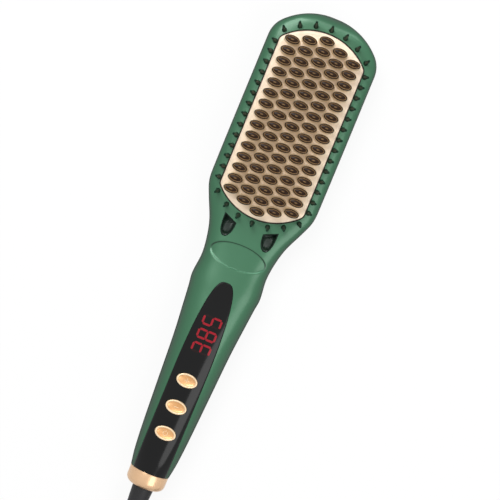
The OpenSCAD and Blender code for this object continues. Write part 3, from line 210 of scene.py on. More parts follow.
def settle(obj, sharp):
    """Outward faces, smooth shading and sharp edges above an angle in degrees."""
    mesh = obj.data
    work = bmesh.new()
    work.from_mesh(mesh)
    bmesh.ops.remove_doubles(work, verts=work.verts, dist=1e-7)
    bmesh.ops.recalc_face_normals(work, faces=work.faces)
    work.to_mesh(mesh)
    work.free()
    mesh.polygons.foreach_set("use_smooth", [True] * len(mesh.polygons))
    mesh.set_sharp_from_angle(angle=math.radians(sharp))
    mesh.update()


def cut(obj, cutters, sharp=32.0):
    """Cuts closed solids out of a piece."""
    for points, faces in cutters:
        tool = bpy.data.objects.new("cutter", mesh_of("cutter", points, faces))
        bpy.context.scene.collection.objects.link(tool)
        settle(tool, sharp)
        mod = obj.modifiers.new("cut", "BOOLEAN")
        mod.operation, mod.solver, mod.object = "DIFFERENCE", "EXACT", tool
        bpy.context.view_layer.update()
        made = bpy.data.meshes.new_from_object(obj.evaluated_get(bpy.context.evaluated_depsgraph_get()))
        if len(made.polygons) in (0, len(obj.data.polygons)):
            raise RuntimeError(f"{obj.name} could not be cut")
        obj.modifiers.clear()
        old, obj.data = obj.data, made
        bpy.data.meshes.remove(old)
        bpy.data.objects.remove(tool)
    settle(obj, sharp)


def strip(rows, columns, closed=True, first=0):
    """Quads of a grid of rows, closed round its columns or open."""
    last = columns if closed else columns - 1
    return [[first + i * columns + j, first + i * columns + (j + 1) % columns,
             first + (i + 1) * columns + (j + 1) % columns, first + (i + 1) * columns + j]
            for i in range(rows - 1) for j in range(last)]


def loft(rings, caps=(True, True)):
    """A closed tube through rings of equally many points."""
    rings = np.asarray(rings, float)
    rows, columns = rings.shape[:2]
    faces = strip(rows, columns)
    if caps[0]:
        faces.append(list(range(columns))[::-1])
    if caps[1]:
        faces.append([(rows - 1) * columns + k for k in range(columns)])
    return rings.reshape(-1, 3), faces


def hoop(rings):
    """A ring-shaped solid: a tube whose last ring joins its first."""
    points, faces = loft(rings, (False, False))
    n = len(rings[0])
    last = len(points) - n
    return points, faces + [[last + j, last + (j + 1) % n, (j + 1) % n, j] for j in range(n)]


def closed_skin(outer, inner):
    """A solid between two grids of points, walled in along its four sides."""
    rows, columns = outer.shape[:2]
    base = rows * columns
    faces = strip(rows, columns, closed=False) + strip(rows, columns, closed=False, first=base)
    for j in (0, columns - 1):
        faces += [[i * columns + j, (i + 1) * columns + j, base + (i + 1) * columns + j, base + i * columns + j]
                  for i in range(rows - 1)]
    for i in (0, rows - 1):
        faces += [[i * columns + j, i * columns + j + 1, base + i * columns + j + 1, base + i * columns + j]
                  for j in range(columns - 1)]
    return np.concatenate([outer.reshape(-1, 3), inner.reshape(-1, 3)]), faces


def level(loop, z):
    """A flat loop at height z."""
    return np.c_[loop, np.full(len(loop), z)]


def prism(outline, low, high):
    """A straight solid over an outline."""
    return loft([level(outline, z) for z in (low, high)])


def lathe(profile, sides=96, centre=(0.0, AXIS_Z), close=loft):
    """Turns a profile of (radius, y) about the handle's axis."""
    a = np.linspace(0, 2 * math.pi, sides, endpoint=False)
    return close([np.c_[centre[0] + r * np.cos(a), np.full(sides, y), centre[1] + r * np.sin(a)] for r, y in profile])


def oval(a, b, n):
    """An oval of n points round the origin, with the half axes a and b."""
    t = np.linspace(0, 2 * math.pi, n, endpoint=False)
    return np.c_[a * np.cos(t), b * np.sin(t)]


def arc(cx, cy, r, a, b, n):
    """An arc from angle a to angle b in degrees, in n steps."""
    t = np.radians(np.linspace(a, b, n + 1))
    return np.c_[cx + r * np.cos(t), cy + r * np.sin(t)]


def round_profile(r, y, bevel, outward, steps=6):
    """Points of a rounded edge at radius r and height y; outward is +1 for an edge that faces +y."""
    t = np.linspace(0, math.pi / 2, steps + 1)
    return [(r - bevel + bevel * math.cos(a), y - outward * (bevel - bevel * math.sin(a))) for a in t]


def joined(parts):
    """Several (points, faces) as one."""
    points, faces, base = [], [], 0
    for p, f in parts:
        points.append(np.asarray(p, float))
        faces += [[base + k for k in face] for face in f]
        base += len(p)
    return np.concatenate(points), faces


def tube(path, radius, sides=16):
    """A round tube along a path, with frames carried along it."""
    path = np.asarray(path, float)
    along = np.gradient(path, axis=0)
    along /= np.linalg.norm(along, axis=1)[:, None]
    side = np.cross(along[0], [0, 0, 1.0])
    side /= np.linalg.norm(side)
    t = np.linspace(0, 2 * math.pi, sides, endpoint=False)
    rings = []
    for p, d in zip(path, along):
        side = side - d * (side @ d)
        side /= np.linalg.norm(side)
        rings.append(p + radius * (np.outer(np.cos(t), side) + np.outer(np.sin(t), np.cross(side, d))))
    return loft(rings)


def smooth_path(points, step):
    """A curve through the points, resampled at a step."""
    p = np.asarray(points, float)
    q = np.vstack([2 * p[0] - p[1], p, 2 * p[-1] - p[-2]])
    out = []
    for i in range(1, len(q) - 2):
        for t in np.linspace(0, 1, 12, endpoint=False):
            out.append(0.5 * (2 * q[i] + (q[i + 1] - q[i - 1]) * t
                              + (2 * q[i - 1] - 5 * q[i] + 4 * q[i + 1] - q[i + 2]) * t * t
                              + (3 * q[i] - q[i - 1] - 3 * q[i + 1] + q[i + 2]) * t**3))
    out = np.array(out + [p[-1]])
    run = np.r_[0, np.cumsum(np.linalg.norm(np.diff(out, axis=0), axis=1))]
    n = max(2, int(round(run[-1] / step)))
    return np.c_[[np.interp(np.linspace(0, run[-1], n + 1), run, out[:, k]) for k in range(3)]].T


# ------------------------------------------------------------------ shader groups
NUMBER, COLOUR, VECTOR = "NodeSocketFloat", "NodeSocketColor", "NodeSocketVector"
BLACK, WHITE = (0, 0, 0, 1), (1, 1, 1, 1)


def group(name, inputs, outputs):
    """An empty node group with named sockets, and its input and output nodes."""
    made = bpy.data.node_groups.new(name, "ShaderNodeTree")
    for label, kind, value in inputs:
        made.interface.new_socket(label, in_out="INPUT", socket_type=kind).default_value = value
    for label, kind in outputs:
        made.interface.new_socket(label, in_out="OUTPUT", socket_type=kind)
    return made, made.nodes.new("NodeGroupInput").outputs, made.nodes.new("NodeGroupOutput").inputs


def node(tree, kind, **settings):
    """A node whose settings are its inputs' values or its own attributes."""
    made = tree.nodes.new(kind)
    for key, value in settings.items():
        if key in made.inputs:
            made.inputs[key].default_value = value
        else:
            setattr(made, key, value)
    return made


def maths(tree, operation, second=None):
    """A Math node; its second number is set where nothing is linked to it."""
    made = node(tree, "ShaderNodeMath", operation=operation)
    if second is not None:
        made.inputs[1].default_value = second
    return made


def ramp_of(tree, **ends):
    """A Map Range node with some of its ends set."""
    made = node(tree, "ShaderNodeMapRange", interpolation_type="SMOOTHSTEP" if ends.pop("soft", False) else "LINEAR")
    for key, value in ends.items():
        made.inputs[key.replace("_", " ").title()].default_value = value
    return made


def wire(tree, *links):
    """Joins sockets, each link given as (from, to)."""
    for start, end in links:
        tree.links.new(start, end)


def tone_drift(name):
    """Slow change of a colour towards a second one over the surface."""
    t, i, o = group(name, [("Colour", COLOUR, WHITE), ("Second colour", COLOUR, WHITE), ("Scale", NUMBER, 30.0),
                           ("Amount", NUMBER, 0.5)], [("Colour", COLOUR)])
    where = node(t, "ShaderNodeTexCoord")
    cloud = node(t, "ShaderNodeTexNoise", Detail=4.0, Roughness=0.6)
    ramp = ramp_of(t, from_min=0.32, from_max=0.68)
    share = maths(t, "MULTIPLY")
    blend = node(t, "ShaderNodeMix", data_type="RGBA")
    wire(t, (where.outputs["Object"], cloud.inputs["Vector"]), (i["Scale"], cloud.inputs["Scale"]),
         (cloud.outputs["Fac"], ramp.inputs["Value"]), (ramp.outputs["Result"], share.inputs[0]),
         (i["Amount"], share.inputs[1]), (share.outputs[0], blend.inputs["Factor"]), (i["Colour"], blend.inputs["A"]),
         (i["Second colour"], blend.inputs["B"]), (blend.outputs["Result"], o["Colour"]))
    return t


def fine_grain(name):
    """Fine moulded or blasted grain: a height, and a roughness that varies with it."""
    t, i, o = group(name, [("Scale", NUMBER, 2000.0), ("Stretch", VECTOR, (1, 1, 1)), ("Roughness", NUMBER, 0.4),
                           ("Spread", NUMBER, 0.1)], [("Height", NUMBER), ("Roughness", NUMBER)])
    where = node(t, "ShaderNodeTexCoord")
    pull = node(t, "ShaderNodeVectorMath", operation="MULTIPLY")
    grain = node(t, "ShaderNodeTexNoise", Detail=3.0, Roughness=0.55)
    smear = node(t, "ShaderNodeTexNoise", Scale=60.0, Detail=5.0, Roughness=0.65)
    centre = maths(t, "SUBTRACT", 0.5)
    spread = maths(t, "MULTIPLY_ADD")
    wire(t, (where.outputs["Object"], pull.inputs[0]), (i["Stretch"], pull.inputs[1]),
         (pull.outputs[0], grain.inputs["Vector"]), (i["Scale"], grain.inputs["Scale"]),
         (where.outputs["Object"], smear.inputs["Vector"]), (smear.outputs["Fac"], centre.inputs[0]),
         (centre.outputs[0], spread.inputs[0]), (i["Spread"], spread.inputs[1]), (i["Roughness"], spread.inputs[2]),
         (grain.outputs["Fac"], o["Height"]), (spread.outputs[0], o["Roughness"]))
    return t


def height_fade(name):
    """A colour that turns to a second one between two heights: on the teeth it paints their roots paler, painted light
    against the shade between them, and on the caps it gives the rows below the crest a warmer brown.
    """
    t, i, o = group(name, [("Low colour", COLOUR, BLACK), ("High colour", COLOUR, WHITE), ("Low", NUMBER, 0.0),
                           ("High", NUMBER, 0.01)], [("Colour", COLOUR)])
    where = node(t, "ShaderNodeTexCoord")
    apart = node(t, "ShaderNodeSeparateXYZ")
    ramp = ramp_of(t, soft=True)
    blend = node(t, "ShaderNodeMix", data_type="RGBA")
    wire(t, (where.outputs["Object"], apart.inputs[0]), (apart.outputs["Z"], ramp.inputs["Value"]),
         (i["Low"], ramp.inputs["From Min"]), (i["High"], ramp.inputs["From Max"]),
         (ramp.outputs["Result"], blend.inputs["Factor"]), (i["Low colour"], blend.inputs["A"]),
         (i["High colour"], blend.inputs["B"]), (blend.outputs["Result"], o["Colour"]))
    return t


def oval_line(name):
    """A fine oval line on the upper side of a piece, with painted shadow along its upper edge and painted highlight
    along its lower one.
    """
    t, i, o = group(name, [("Colour", COLOUR, WHITE), ("Upper colour", COLOUR, BLACK), ("Lower colour", COLOUR, WHITE),
                           ("Centre", VECTOR, (0, 0, 0)), ("Inverse radii", VECTOR, (1, 1, 0)),
                           ("Width", NUMBER, 0.02)], [("Colour", COLOUR)])
    where = node(t, "ShaderNodeTexCoord")
    # Distance from the oval: the place, squashed so that the oval is a circle of radius 1
    shift = node(t, "ShaderNodeVectorMath", operation="SUBTRACT")
    squash = node(t, "ShaderNodeVectorMath", operation="MULTIPLY")
    reach = node(t, "ShaderNodeVectorMath", operation="LENGTH")
    off, far = maths(t, "SUBTRACT", 1.0), maths(t, "ABSOLUTE")
    ramp = ramp_of(t, soft=True, to_min=1.0, to_max=0.0)
    # Only on the upper side
    apart = node(t, "ShaderNodeSeparateXYZ")
    above, share = maths(t, "GREATER_THAN", 0.0), maths(t, "MULTIPLY")
    # Painted shadow above, painted highlight below
    local = node(t, "ShaderNodeSeparateXYZ")
    side = ramp_of(t, soft=True, from_min=-0.6, from_max=0.3)
    painted_shadow_and_highlight = node(t, "ShaderNodeMix", data_type="RGBA")
    blend = node(t, "ShaderNodeMix", data_type="RGBA")
    wire(t, (where.outputs["Object"], shift.inputs[0]), (i["Centre"], shift.inputs[1]),
         (shift.outputs[0], squash.inputs[0]), (i["Inverse radii"], squash.inputs[1]),
         (squash.outputs[0], reach.inputs[0]), (reach.outputs["Value"], off.inputs[0]),
         (off.outputs[0], far.inputs[0]), (far.outputs[0], ramp.inputs["Value"]), (i["Width"], ramp.inputs["From Max"]),
         (shift.outputs[0], apart.inputs[0]), (apart.outputs["Z"], above.inputs[0]),
         (ramp.outputs["Result"], share.inputs[0]), (above.outputs[0], share.inputs[1]),
         (squash.outputs[0], local.inputs[0]), (local.outputs["Y"], side.inputs["Value"]),
         (side.outputs["Result"], painted_shadow_and_highlight.inputs["Factor"]), (i["Lower colour"], painted_shadow_and_highlight.inputs["A"]),
         (i["Upper colour"], painted_shadow_and_highlight.inputs["B"]), (share.outputs[0], blend.inputs["Factor"]),
         (i["Colour"], blend.inputs["A"]), (painted_shadow_and_highlight.outputs["Result"], blend.inputs["B"]),
         (blend.outputs["Result"], o["Colour"]))
    return t


def placed(tree, build, values):
    """A shared group in a material, made on first use, with the material's own values."""
    name = build.__name__.replace("_", " ").capitalize()
    made = node(tree, "ShaderNodeGroup", node_tree=bpy.data.node_groups.get(name) or build(name))
    for label, value in values.items():
        made.inputs[label].default_value = value
    return made


def linear(c):
    """Screen colour to linear, with alpha."""
    return tuple(v / 12.92 if v <= 0.04045 else ((v + 0.055) / 1.055) ** 2.4 for v in c[:3]) + (1.0,)


def finish(name, colour, second=None, drift=0.5, drift_scale=30.0, rough=0.4, spread=0.1, metal=0.0, coat=0.0,
           coat_rough=0.05, grain=2000.0, stretch=(1, 1, 1), bump=0.02, glow=None, fade=None, edge=None, line=None,
           ior=1.45):
    """A material: its colour drifts, its roughness varies, and its grain stands out."""
    mat = bpy.data.materials.new(name)
    mat.use_nodes = True
    t = mat.node_tree
    shader = t.nodes["Principled BSDF"]
    shader.inputs["IOR"].default_value = ior
    shader.inputs["Metallic"].default_value = metal
    shader.inputs["Coat Weight"].default_value = coat
    shader.inputs["Coat Roughness"].default_value = coat_rough
    tone = placed(t, tone_drift, {
        "Colour": linear(colour), "Second colour": linear(second or [min(1, c * 1.15) for c in colour]),
        "Scale": drift_scale, "Amount": drift})
    skin = placed(t, fine_grain, {"Scale": grain, "Stretch": stretch, "Roughness": rough, "Spread": spread})
    raised = node(t, "ShaderNodeBump", Strength=1.0, Distance=bump * MM)
    shade = tone.outputs["Colour"]
    if fade:
        # On the teeth this is painted light: their roots are painted paler where shade falls between them
        low_colour, low, high = fade
        root = placed(t, height_fade, {"Low colour": linear(low_colour), "Low": low * MM, "High": high * MM})
        wire(t, (shade, root.inputs["High colour"]))
        shade = root.outputs["Colour"]
    if line:
        # A fine line round the badge's dip, with painted shadow along its upper edge and painted highlight along its
        # lower one
        upper, lower, centre, radii, width = line
        drawn = placed(t, oval_line, {
            "Upper colour": linear(upper), "Lower colour": linear(lower), "Centre": [v * MM for v in centre],
            "Inverse radii": [1 / (v * MM) for v in radii] + [0.0], "Width": width})
        wire(t, (shade, drawn.inputs["Colour"]))
        shade = drawn.outputs["Colour"]
    wire(t, (shade, shader.inputs["Base Color"]), (skin.outputs["Roughness"], shader.inputs["Roughness"]),
         (skin.outputs["Height"], raised.inputs["Height"]), (raised.outputs["Normal"], shader.inputs["Normal"]))
    if edge:
        # Painted shade: the paint turns dark where it is seen at a slant, partly the metallic paint's flop and partly
        # the shade on the housing's rounded sides
        dark, blend, power = edge
        turned = node(t, "ShaderNodeLayerWeight", Blend=blend)
        painted_edge_shade_share = maths(t, "POWER", power)
        deep = node(t, "ShaderNodeBsdfDiffuse", Color=linear(dark))
        both = node(t, "ShaderNodeMixShader")
        wire(t, (turned.outputs["Facing"], painted_edge_shade_share.inputs[0]), (painted_edge_shade_share.outputs[0], both.inputs["Fac"]),
             (shader.outputs[0], both.inputs[1]), (deep.outputs[0], both.inputs[2]),
             (both.outputs[0], t.nodes["Material Output"].inputs["Surface"]))
    if glow:
        # On the display's lit bars this is a real glow; on the plate and the teeth it is painted light
        wire(t, (shade, shader.inputs["Emission Color"]))
        shader.inputs["Emission Strength"].default_value = glow
    return mat


FINISHES = {}


def use(name, **settings):
    """The named finish, made on first use."""
    if name not in FINISHES:
        FINISHES[name] = finish(name, **settings)
    return FINISHES[name]


def colour_of(key):
    """A colour of the panel."""
    return tuple(getattr(bpy.context.scene.brush_colours, key))


def size_of(key):
    """A size of the panel, in millimetres."""
    return getattr(bpy.context.scene.brush_sizes, key) / MM


# ------------------------------------------------------------------ properties
class BrushSizes(bpy.types.PropertyGroup):
    seam_groove: bpy.props.FloatProperty(
        name="Seam groove", description="Depth of the groove where the two halves of the housing meet",
        default=0.0004, min=0.0, max=0.001, unit="LENGTH", precision=5)
    panel_edge: bpy.props.FloatProperty(
        name="Panel edge", description="Radius of the rounded edge of the panel",
        default=0.0004, min=0.0001, max=0.0006, unit="LENGTH", precision=5)
    button_dish: bpy.props.FloatProperty(
        name="Button dish", description="Depth of the hollow in the top of each button",
        default=0.0009, min=0.0, max=0.001, unit="LENGTH", precision=5)
    cap_edge: bpy.props.FloatProperty(
        name="Cap edge", description="Radius of the rounded shoulder of each tooth cap",
        default=0.001, min=0.0002, max=0.0015, unit="LENGTH", precision=5)
    tooth_root: bpy.props.FloatProperty(
        name="Tooth root", description="Radius of the fillet where a tooth meets the plate",
        default=0.0004, min=0.0, max=0.0008, unit="LENGTH", precision=5)


class BrushColours(bpy.types.PropertyGroup):
    housing: bpy.props.FloatVectorProperty(
        name="Housing", description="Green of the housing", subtype="COLOR", size=3, min=0, max=1,
        default=(0.19, 0.385, 0.27))
    housing_light: bpy.props.FloatVectorProperty(
        name="Housing light", description="Lighter green that the housing drifts to", subtype="COLOR", size=3,
        min=0, max=1, default=(0.235, 0.45, 0.325))
    plate: bpy.props.FloatVectorProperty(
        name="Plate", description="Gold of the heated plate and its teeth", subtype="COLOR", size=3, min=0, max=1,
        default=(0.92, 0.84, 0.755))
    cap: bpy.props.FloatVectorProperty(
        name="Caps", description="Brown of the tooth caps", subtype="COLOR", size=3, min=0, max=1,
        default=(0.10, 0.06, 0.03))
    button: bpy.props.FloatVectorProperty(
        name="Buttons", description="Gold of the buttons", subtype="COLOR", size=3, min=0, max=1,
        default=(0.79, 0.57, 0.35))
    cuff: bpy.props.FloatVectorProperty(
        name="Cuff", description="Gold of the end cuff", subtype="COLOR", size=3, min=0, max=1,
        default=(0.84, 0.69, 0.54))
    digits: bpy.props.FloatVectorProperty(
        name="Digits", description="Red of the lit bars of the display", subtype="COLOR", size=3, min=0, max=1,
        default=(0.54, 0.06, 0.12))


# ------------------------------------------------------------------ the stage, in metres
CAMERA_PLACE, CAMERA_TARGET = Vector((0.0, 60.0, 984.0)) * MM, Vector((3.2, 21.0, 24.0)) * MM
CAMERA_LENS, CAMERA_SHIFT, LEAN = 122.8, (-0.017, -0.055), math.radians(22.45)
TABLE_HALF, TABLE_TOP = 3, -0.1 * MM
# Name, place, diameter and power in watts
LAMPS = (("key_lamp", (-0.55, 0.65, 1.5), 0.9, 17.0), ("fill_lamp", (0.9, -0.35, 1.3), 1.0, 8.0),
         ("head_lamp", (0.15, 0.95, 0.9), 0.5, 2.2))
LAMP_TARGET = Vector((0, 0.02, 0))
AMBIENT = 0.45  # strength of the white surroundings for light that isn't seen directly
TABLE_GLOW = 0.9  # share of the table's white that is there for the camera


class BRUSH_OT_stage(bpy.types.Operator):
    """Camera above the brush, soft lamps, a white table"""

    bl_idname = "brush.stage"
    bl_label = "Stage"

    def execute(self, context):
        scene = context.scene
        scene.view_settings.view_transform = "Standard"
        camera = bpy.data.objects.new("Camera", bpy.data.cameras.new("Camera"))
        scene.collection.objects.link(camera)
        scene.camera = camera
        ahead = (CAMERA_TARGET - CAMERA_PLACE).normalized()
        across = ahead.cross(Vector((-math.sin(LEAN), math.cos(LEAN), 0))).normalized()
        camera.matrix_world = Matrix.Translation(CAMERA_PLACE) @ Matrix(
            (across, across.cross(ahead), -ahead)).transposed().to_4x4()
        camera.data.lens = CAMERA_LENS
        camera.data.shift_x, camera.data.shift_y = CAMERA_SHIFT
        camera.data.clip_start, camera.data.clip_end = 0.05, 20.0

        floor = bpy.data.objects.new("table", bpy.data.meshes.new("table"))
        corners = [(x * TABLE_HALF, y * TABLE_HALF, TABLE_TOP) for x, y in ((-1, -1), (1, -1), (1, 1), (-1, 1))]
        floor.data.from_pydata(corners, [], [(0, 1, 2, 3)])
        scene.collection.objects.link(floor)
        floor.data.materials.append(self.table_top())
        for name, where, size, power in LAMPS:
            data = bpy.data.lights.new(name, "AREA")
            data.shape, data.size, data.energy = "DISK", size, power
            lamp = bpy.data.objects.new(name, data)
            lamp.location = where
            lamp.rotation_mode = "QUATERNION"
            lamp.rotation_quaternion = (LAMP_TARGET - Vector(where)).to_track_quat("-Z", "Y")
            scene.collection.objects.link(lamp)
        self.surroundings(scene)
        return {"FINISHED"}

    @staticmethod
    def seen(tree):
        """1 for rays of the camera, of gloss and of glass, else 0."""
        path = node(tree, "ShaderNodeLightPath")
        first, second = maths(tree, "MAXIMUM"), maths(tree, "MAXIMUM")
        wire(tree, (path.outputs["Is Camera Ray"], first.inputs[0]), (path.outputs["Is Glossy Ray"], first.inputs[1]),
             (first.outputs[0], second.inputs[0]), (path.outputs["Is Transmission Ray"], second.inputs[1]))
        return second.outputs[0]

    def table_top(self):
        """Matt white that shows as plain white and keeps a soft shadow."""
        mat = bpy.data.materials.new("White table")
        mat.use_nodes = True
        t = mat.node_tree
        t.nodes.remove(t.nodes["Principled BSDF"])
        matt = node(t, "ShaderNodeBsdfDiffuse", Color=(0.85, 0.85, 0.85, 1))
        white = node(t, "ShaderNodeEmission", Color=WHITE, Strength=1.0)
        part = maths(t, "MULTIPLY", TABLE_GLOW)
        both = node(t, "ShaderNodeMixShader")
        wire(t, (self.seen(t), part.inputs[0]), (part.outputs[0], both.inputs["Fac"]),
             (matt.outputs[0], both.inputs[1]), (white.outputs[0], both.inputs[2]),
             (both.outputs[0], t.nodes["Material Output"].inputs["Surface"]))
        return mat

    def surroundings(self, scene):
        """White all round, dimmer where it only lights the object."""
        world = bpy.data.worlds.new("Studio")
        scene.world = world
        world.use_nodes = True
        t = world.node_tree
        back = t.nodes["Background"]
        back.inputs["Color"].default_value = WHITE
        strength = ramp_of(t, to_min=AMBIENT, to_max=1.0)
        wire(t, (self.seen(t), strength.inputs["Value"]), (strength.outputs["Result"], back.inputs["Strength"]))


# ------------------------------------------------------------------ the cord
LEAD_ROUTE = [
    [0, -182, 14.6], [0, -185, 14.6], [0, -188, 14.6], [0, -191.5, 14.4], [0, -195, 13.9], [0, -198.5, 13.2],
    [0, -202, 12.2], [-0.1, -205.3, 11.2], [-0.5, -208.6, 10], [-1.2, -211.8, 8.9], [-2.1, -215, 7.7],
    [-3.2, -218.1, 6.6], [-4.6, -221.1, 5.6], [-6.2, -223.9, 4.7], [-8, -226.7, 4], [-9.93, -229.46, 3.4],
    [-12.4, -231.9, 3.4],
]
TAIL_ROUTE = [
    [49.9, -237.3, 9.5], [48.311, -234.994, 9.5], [47.1, -232.4, 9.1], [46, -229.8, 8.7], [45.2, -227.2, 8.2],
    [44.6, -224.5, 7.7], [44.2, -221.7, 7.3], [44.1, -218.9, 7], [44.1, -216, 6.9], [44.1, -213, 6.9],
]
COIL_X, COIL_Y, COIL_Z, COIL_R, COIL_STEP, COIL_START, COIL_TURNS = 15.8, -268.0, 3.4, 45.5, 6.1, 135.0, 7 + 260 / 360
COIL_PARTS, CORD_PART = 371, 1.6  # straight parts of the coil's route, and length of a part of the cord
PLUG_X, PLUG_Z, PLUG_RELIEF_Y, PLUG_RELIEF_LEN = 44.1, 6.9, -213.0, 14.0
PLUG_Y0 = PLUG_RELIEF_Y + PLUG_RELIEF_LEN
PLUG_Y1 = PLUG_Y0 + PLUG_LEN
# Each section of the plug gives y, half width, half height and the power of its outline
PLUG_SECTIONS = (
    (PLUG_RELIEF_Y, 2.9, 2.9, 2), (PLUG_RELIEF_Y + 0.3, 3.4, 3.4, 2), (PLUG_RELIEF_Y + 7, 4.1, 4.1, 2),
    (PLUG_Y0 - 0.5, 5.2, 5.2, 2.1), (PLUG_Y0 + 0.6, 8.5, 6.0, 2.6), (PLUG_Y0 + 2.5, 10.4, 6.5, 3.2),
    (PLUG_Y0 + 7, 12.2, 6.75, 4), (PLUG_Y0 + 14, 14.2, 6.8, 5), (PLUG_Y0 + 21, 16.4, 6.8, 5.5),
    (PLUG_Y1 - 4.5, 17.5, 6.8, 6), (PLUG_Y1 - 0.9, 17.6, 6.8, 6), (PLUG_Y1 - 0.25, 17.35, 6.6, 6),
    (PLUG_Y1, 16.8, 6.1, 6),
)
BOOT_ROOT, BOOT_COLLAR, BOOT_END = 3.3, 14, 4  # how deep it sits in the cuff, and its plain ends
# One groove of the boot, as steps inwards and along
GROOVE = ((-0.02, -0.3), (0.1, 0), (0.6, 0.15), (0.7, 0.6), (0.6, 1.05), (0.15, 1.2), (0.05, 1.5))
TIE_TURN, TIE_HALF_W = 250, 4.5


def coil_point(turn):
    """A place on the coil's route: spiral inwards, a step up in the middle, spiral outwards."""
    half = COIL_TURNS / 2
    r = COIL_R - COIL_STEP * (half - abs(turn - half))
    climb = min(max((turn - half + 0.25) / 0.5, 0), 1)
    a = math.radians(COIL_START + 360 * turn)
    return [COIL_X + r * math.cos(a), COIL_Y + r * math.sin(a), COIL_Z + COIL_STEP * climb * climb * (3 - 2 * climb)]


class BRUSH_OT_mains_cord(bpy.types.Operator):
    """The bend boot, the coiled cord, its tie and the plug"""

    bl_idname = "brush.mains_cord"
    bl_label = "Mains cord"

    def execute(self, context):
        sleeve = use("Cord sleeve", colour=(0.12, 0.12, 0.125), second=(0.16, 0.16, 0.165), rough=0.52, spread=0.12,
                     grain=3000.0, bump=0.02, ior=1.35)
        self.boot(sleeve)
        turns = [coil_point(COIL_TURNS * k / COIL_PARTS) for k in range(COIL_PARTS + 1)]
        path = smooth_path(LEAD_ROUTE + turns + TAIL_ROUTE, CORD_PART)
        cord = piece("mains_cord", *tube(path, CORD_D / 2), sleeve, node=["cord_lead", "cord_coil", "cord_tail"],
                     slot="cord_black", sharp=60)
        plug = self.plug()
        pins = self.pins()
        tie = self.tie()
        return {"FINISHED"}

    def boot(self, sleeve):
        """The tapered strain relief, which turns with the swivel."""
        face = -TIP
        taper = (BOOT_D - BOOT_TIP_D) / 2 / BOOT_LEN
        pitch = (BOOT_LEN - BOOT_COLLAR - BOOT_END) / BOOT_GROOVES
        profile = [(0.5, face + BOOT_ROOT), (BOOT_D / 2, face + BOOT_ROOT), (BOOT_D / 2, face)]
        for k in range(BOOT_GROOVES):
            y = face - BOOT_COLLAR - k * pitch
            r = BOOT_D / 2 - taper * (face - y)
            profile += [(r - inwards, y - along) for inwards, along in GROOVE]
        end = face - BOOT_LEN
        profile += round_profile(BOOT_TIP_D / 2, end, 0.7, -1) + [(0.3, end)]
        piece("boot_sleeve", *lathe(profile, 72), sleeve, body=SWIVEL, node="cord_boot", slot="cord_black", sharp=50)

    def plug(self):
        """The plug's body, with the relief of the cord in one piece."""
        shell = use("Plug moulding", colour=(0.10, 0.10, 0.105), second=(0.13, 0.13, 0.135), rough=0.45, spread=0.1,
                    grain=1800.0, bump=0.03, ior=1.35)
        t = np.linspace(0, 2 * math.pi, 96, endpoint=False)
        c, s = np.cos(t), np.sin(t)
        rings = [np.c_[PLUG_X + w * np.sign(c) * np.abs(c) ** (2 / n), np.full(len(t), y),
                       PLUG_Z + h * np.sign(s) * np.abs(s) ** (2 / n)] for y, w, h, n in PLUG_SECTIONS]
        return piece("mains_plug", *loft(rings), shell, node="plug_body", slot="plug_black", sharp=40)

    def pins(self):
        """The plug's two round pins."""
        metal = use("Nickel plating", colour=(0.83, 0.82, 0.79), second=(0.76, 0.75, 0.72), rough=0.22, spread=0.1,
                    metal=1.0, grain=900.0, stretch=(1, 0.1, 1), bump=0.004)
        r = PLUG_PIN_D / 2
        dome = PLUG_Y1 + PLUG_PIN_LEN - r
        profile = [(r, PLUG_Y1 - 0.1), (r, dome)]
        profile += [(r * math.cos(a), dome + r * math.sin(a)) for a in np.linspace(0.2, 1.5, 8)]
        parts = [lathe(profile, 40, (PLUG_X + side * PLUG_PIN_PITCH / 2, PLUG_Z)) for side in (-1, 1)]
        return piece("plug_contacts", *joined(parts), metal, node="plug_pins", slot="pin_nickel")

    def tie(self):
        """A band round the coil's strands."""
        strap = use("Tie strap", colour=(0.07, 0.07, 0.075), rough=0.6, grain=1500.0, stretch=(1, 6, 1), bump=0.05)
        mid, half = COIL_R - COIL_STEP * COIL_TURNS / 4, COIL_STEP * COIL_TURNS / 4 + CORD_D / 2 + 1
        low, high = 0.1, COIL_Z + COIL_STEP + CORD_D / 2 + 0.6
        turn = Matrix.Rotation(math.radians(TIE_TURN), 3, "Z")
        loops = []
        # Outer face, then inner face, each across the band's width
        for w, h, ys in ((half + 0.4, (high - low) / 2 + 0.2, (0.3 - TIE_HALF_W, 0.1 - TIE_HALF_W, TIE_HALF_W - 0.1,
                                                               TIE_HALF_W - 0.3)),
                         (half, (high - low) / 2 - 0.2, (TIE_HALF_W - 0.2, 0.2 - TIE_HALF_W))):
            ring = []
            for a in np.linspace(0, 2 * math.pi, 48, endpoint=False):
                c, s = math.cos(a), math.sin(a)
                ring.append((mid + w * math.copysign(abs(c) ** 0.25, c),
                             (low + high + 0.4) / 2 + h * math.copysign(abs(s) ** 0.25, s)))
            loops += [[list(turn @ Vector((u, y, v)) + Vector((COIL_X, COIL_Y, 0))) for u, v in ring] for y in ys]
        return piece("tie_strap", *hoop(loops), strap, node="cord_tie", slot="plug_black", sharp=40)


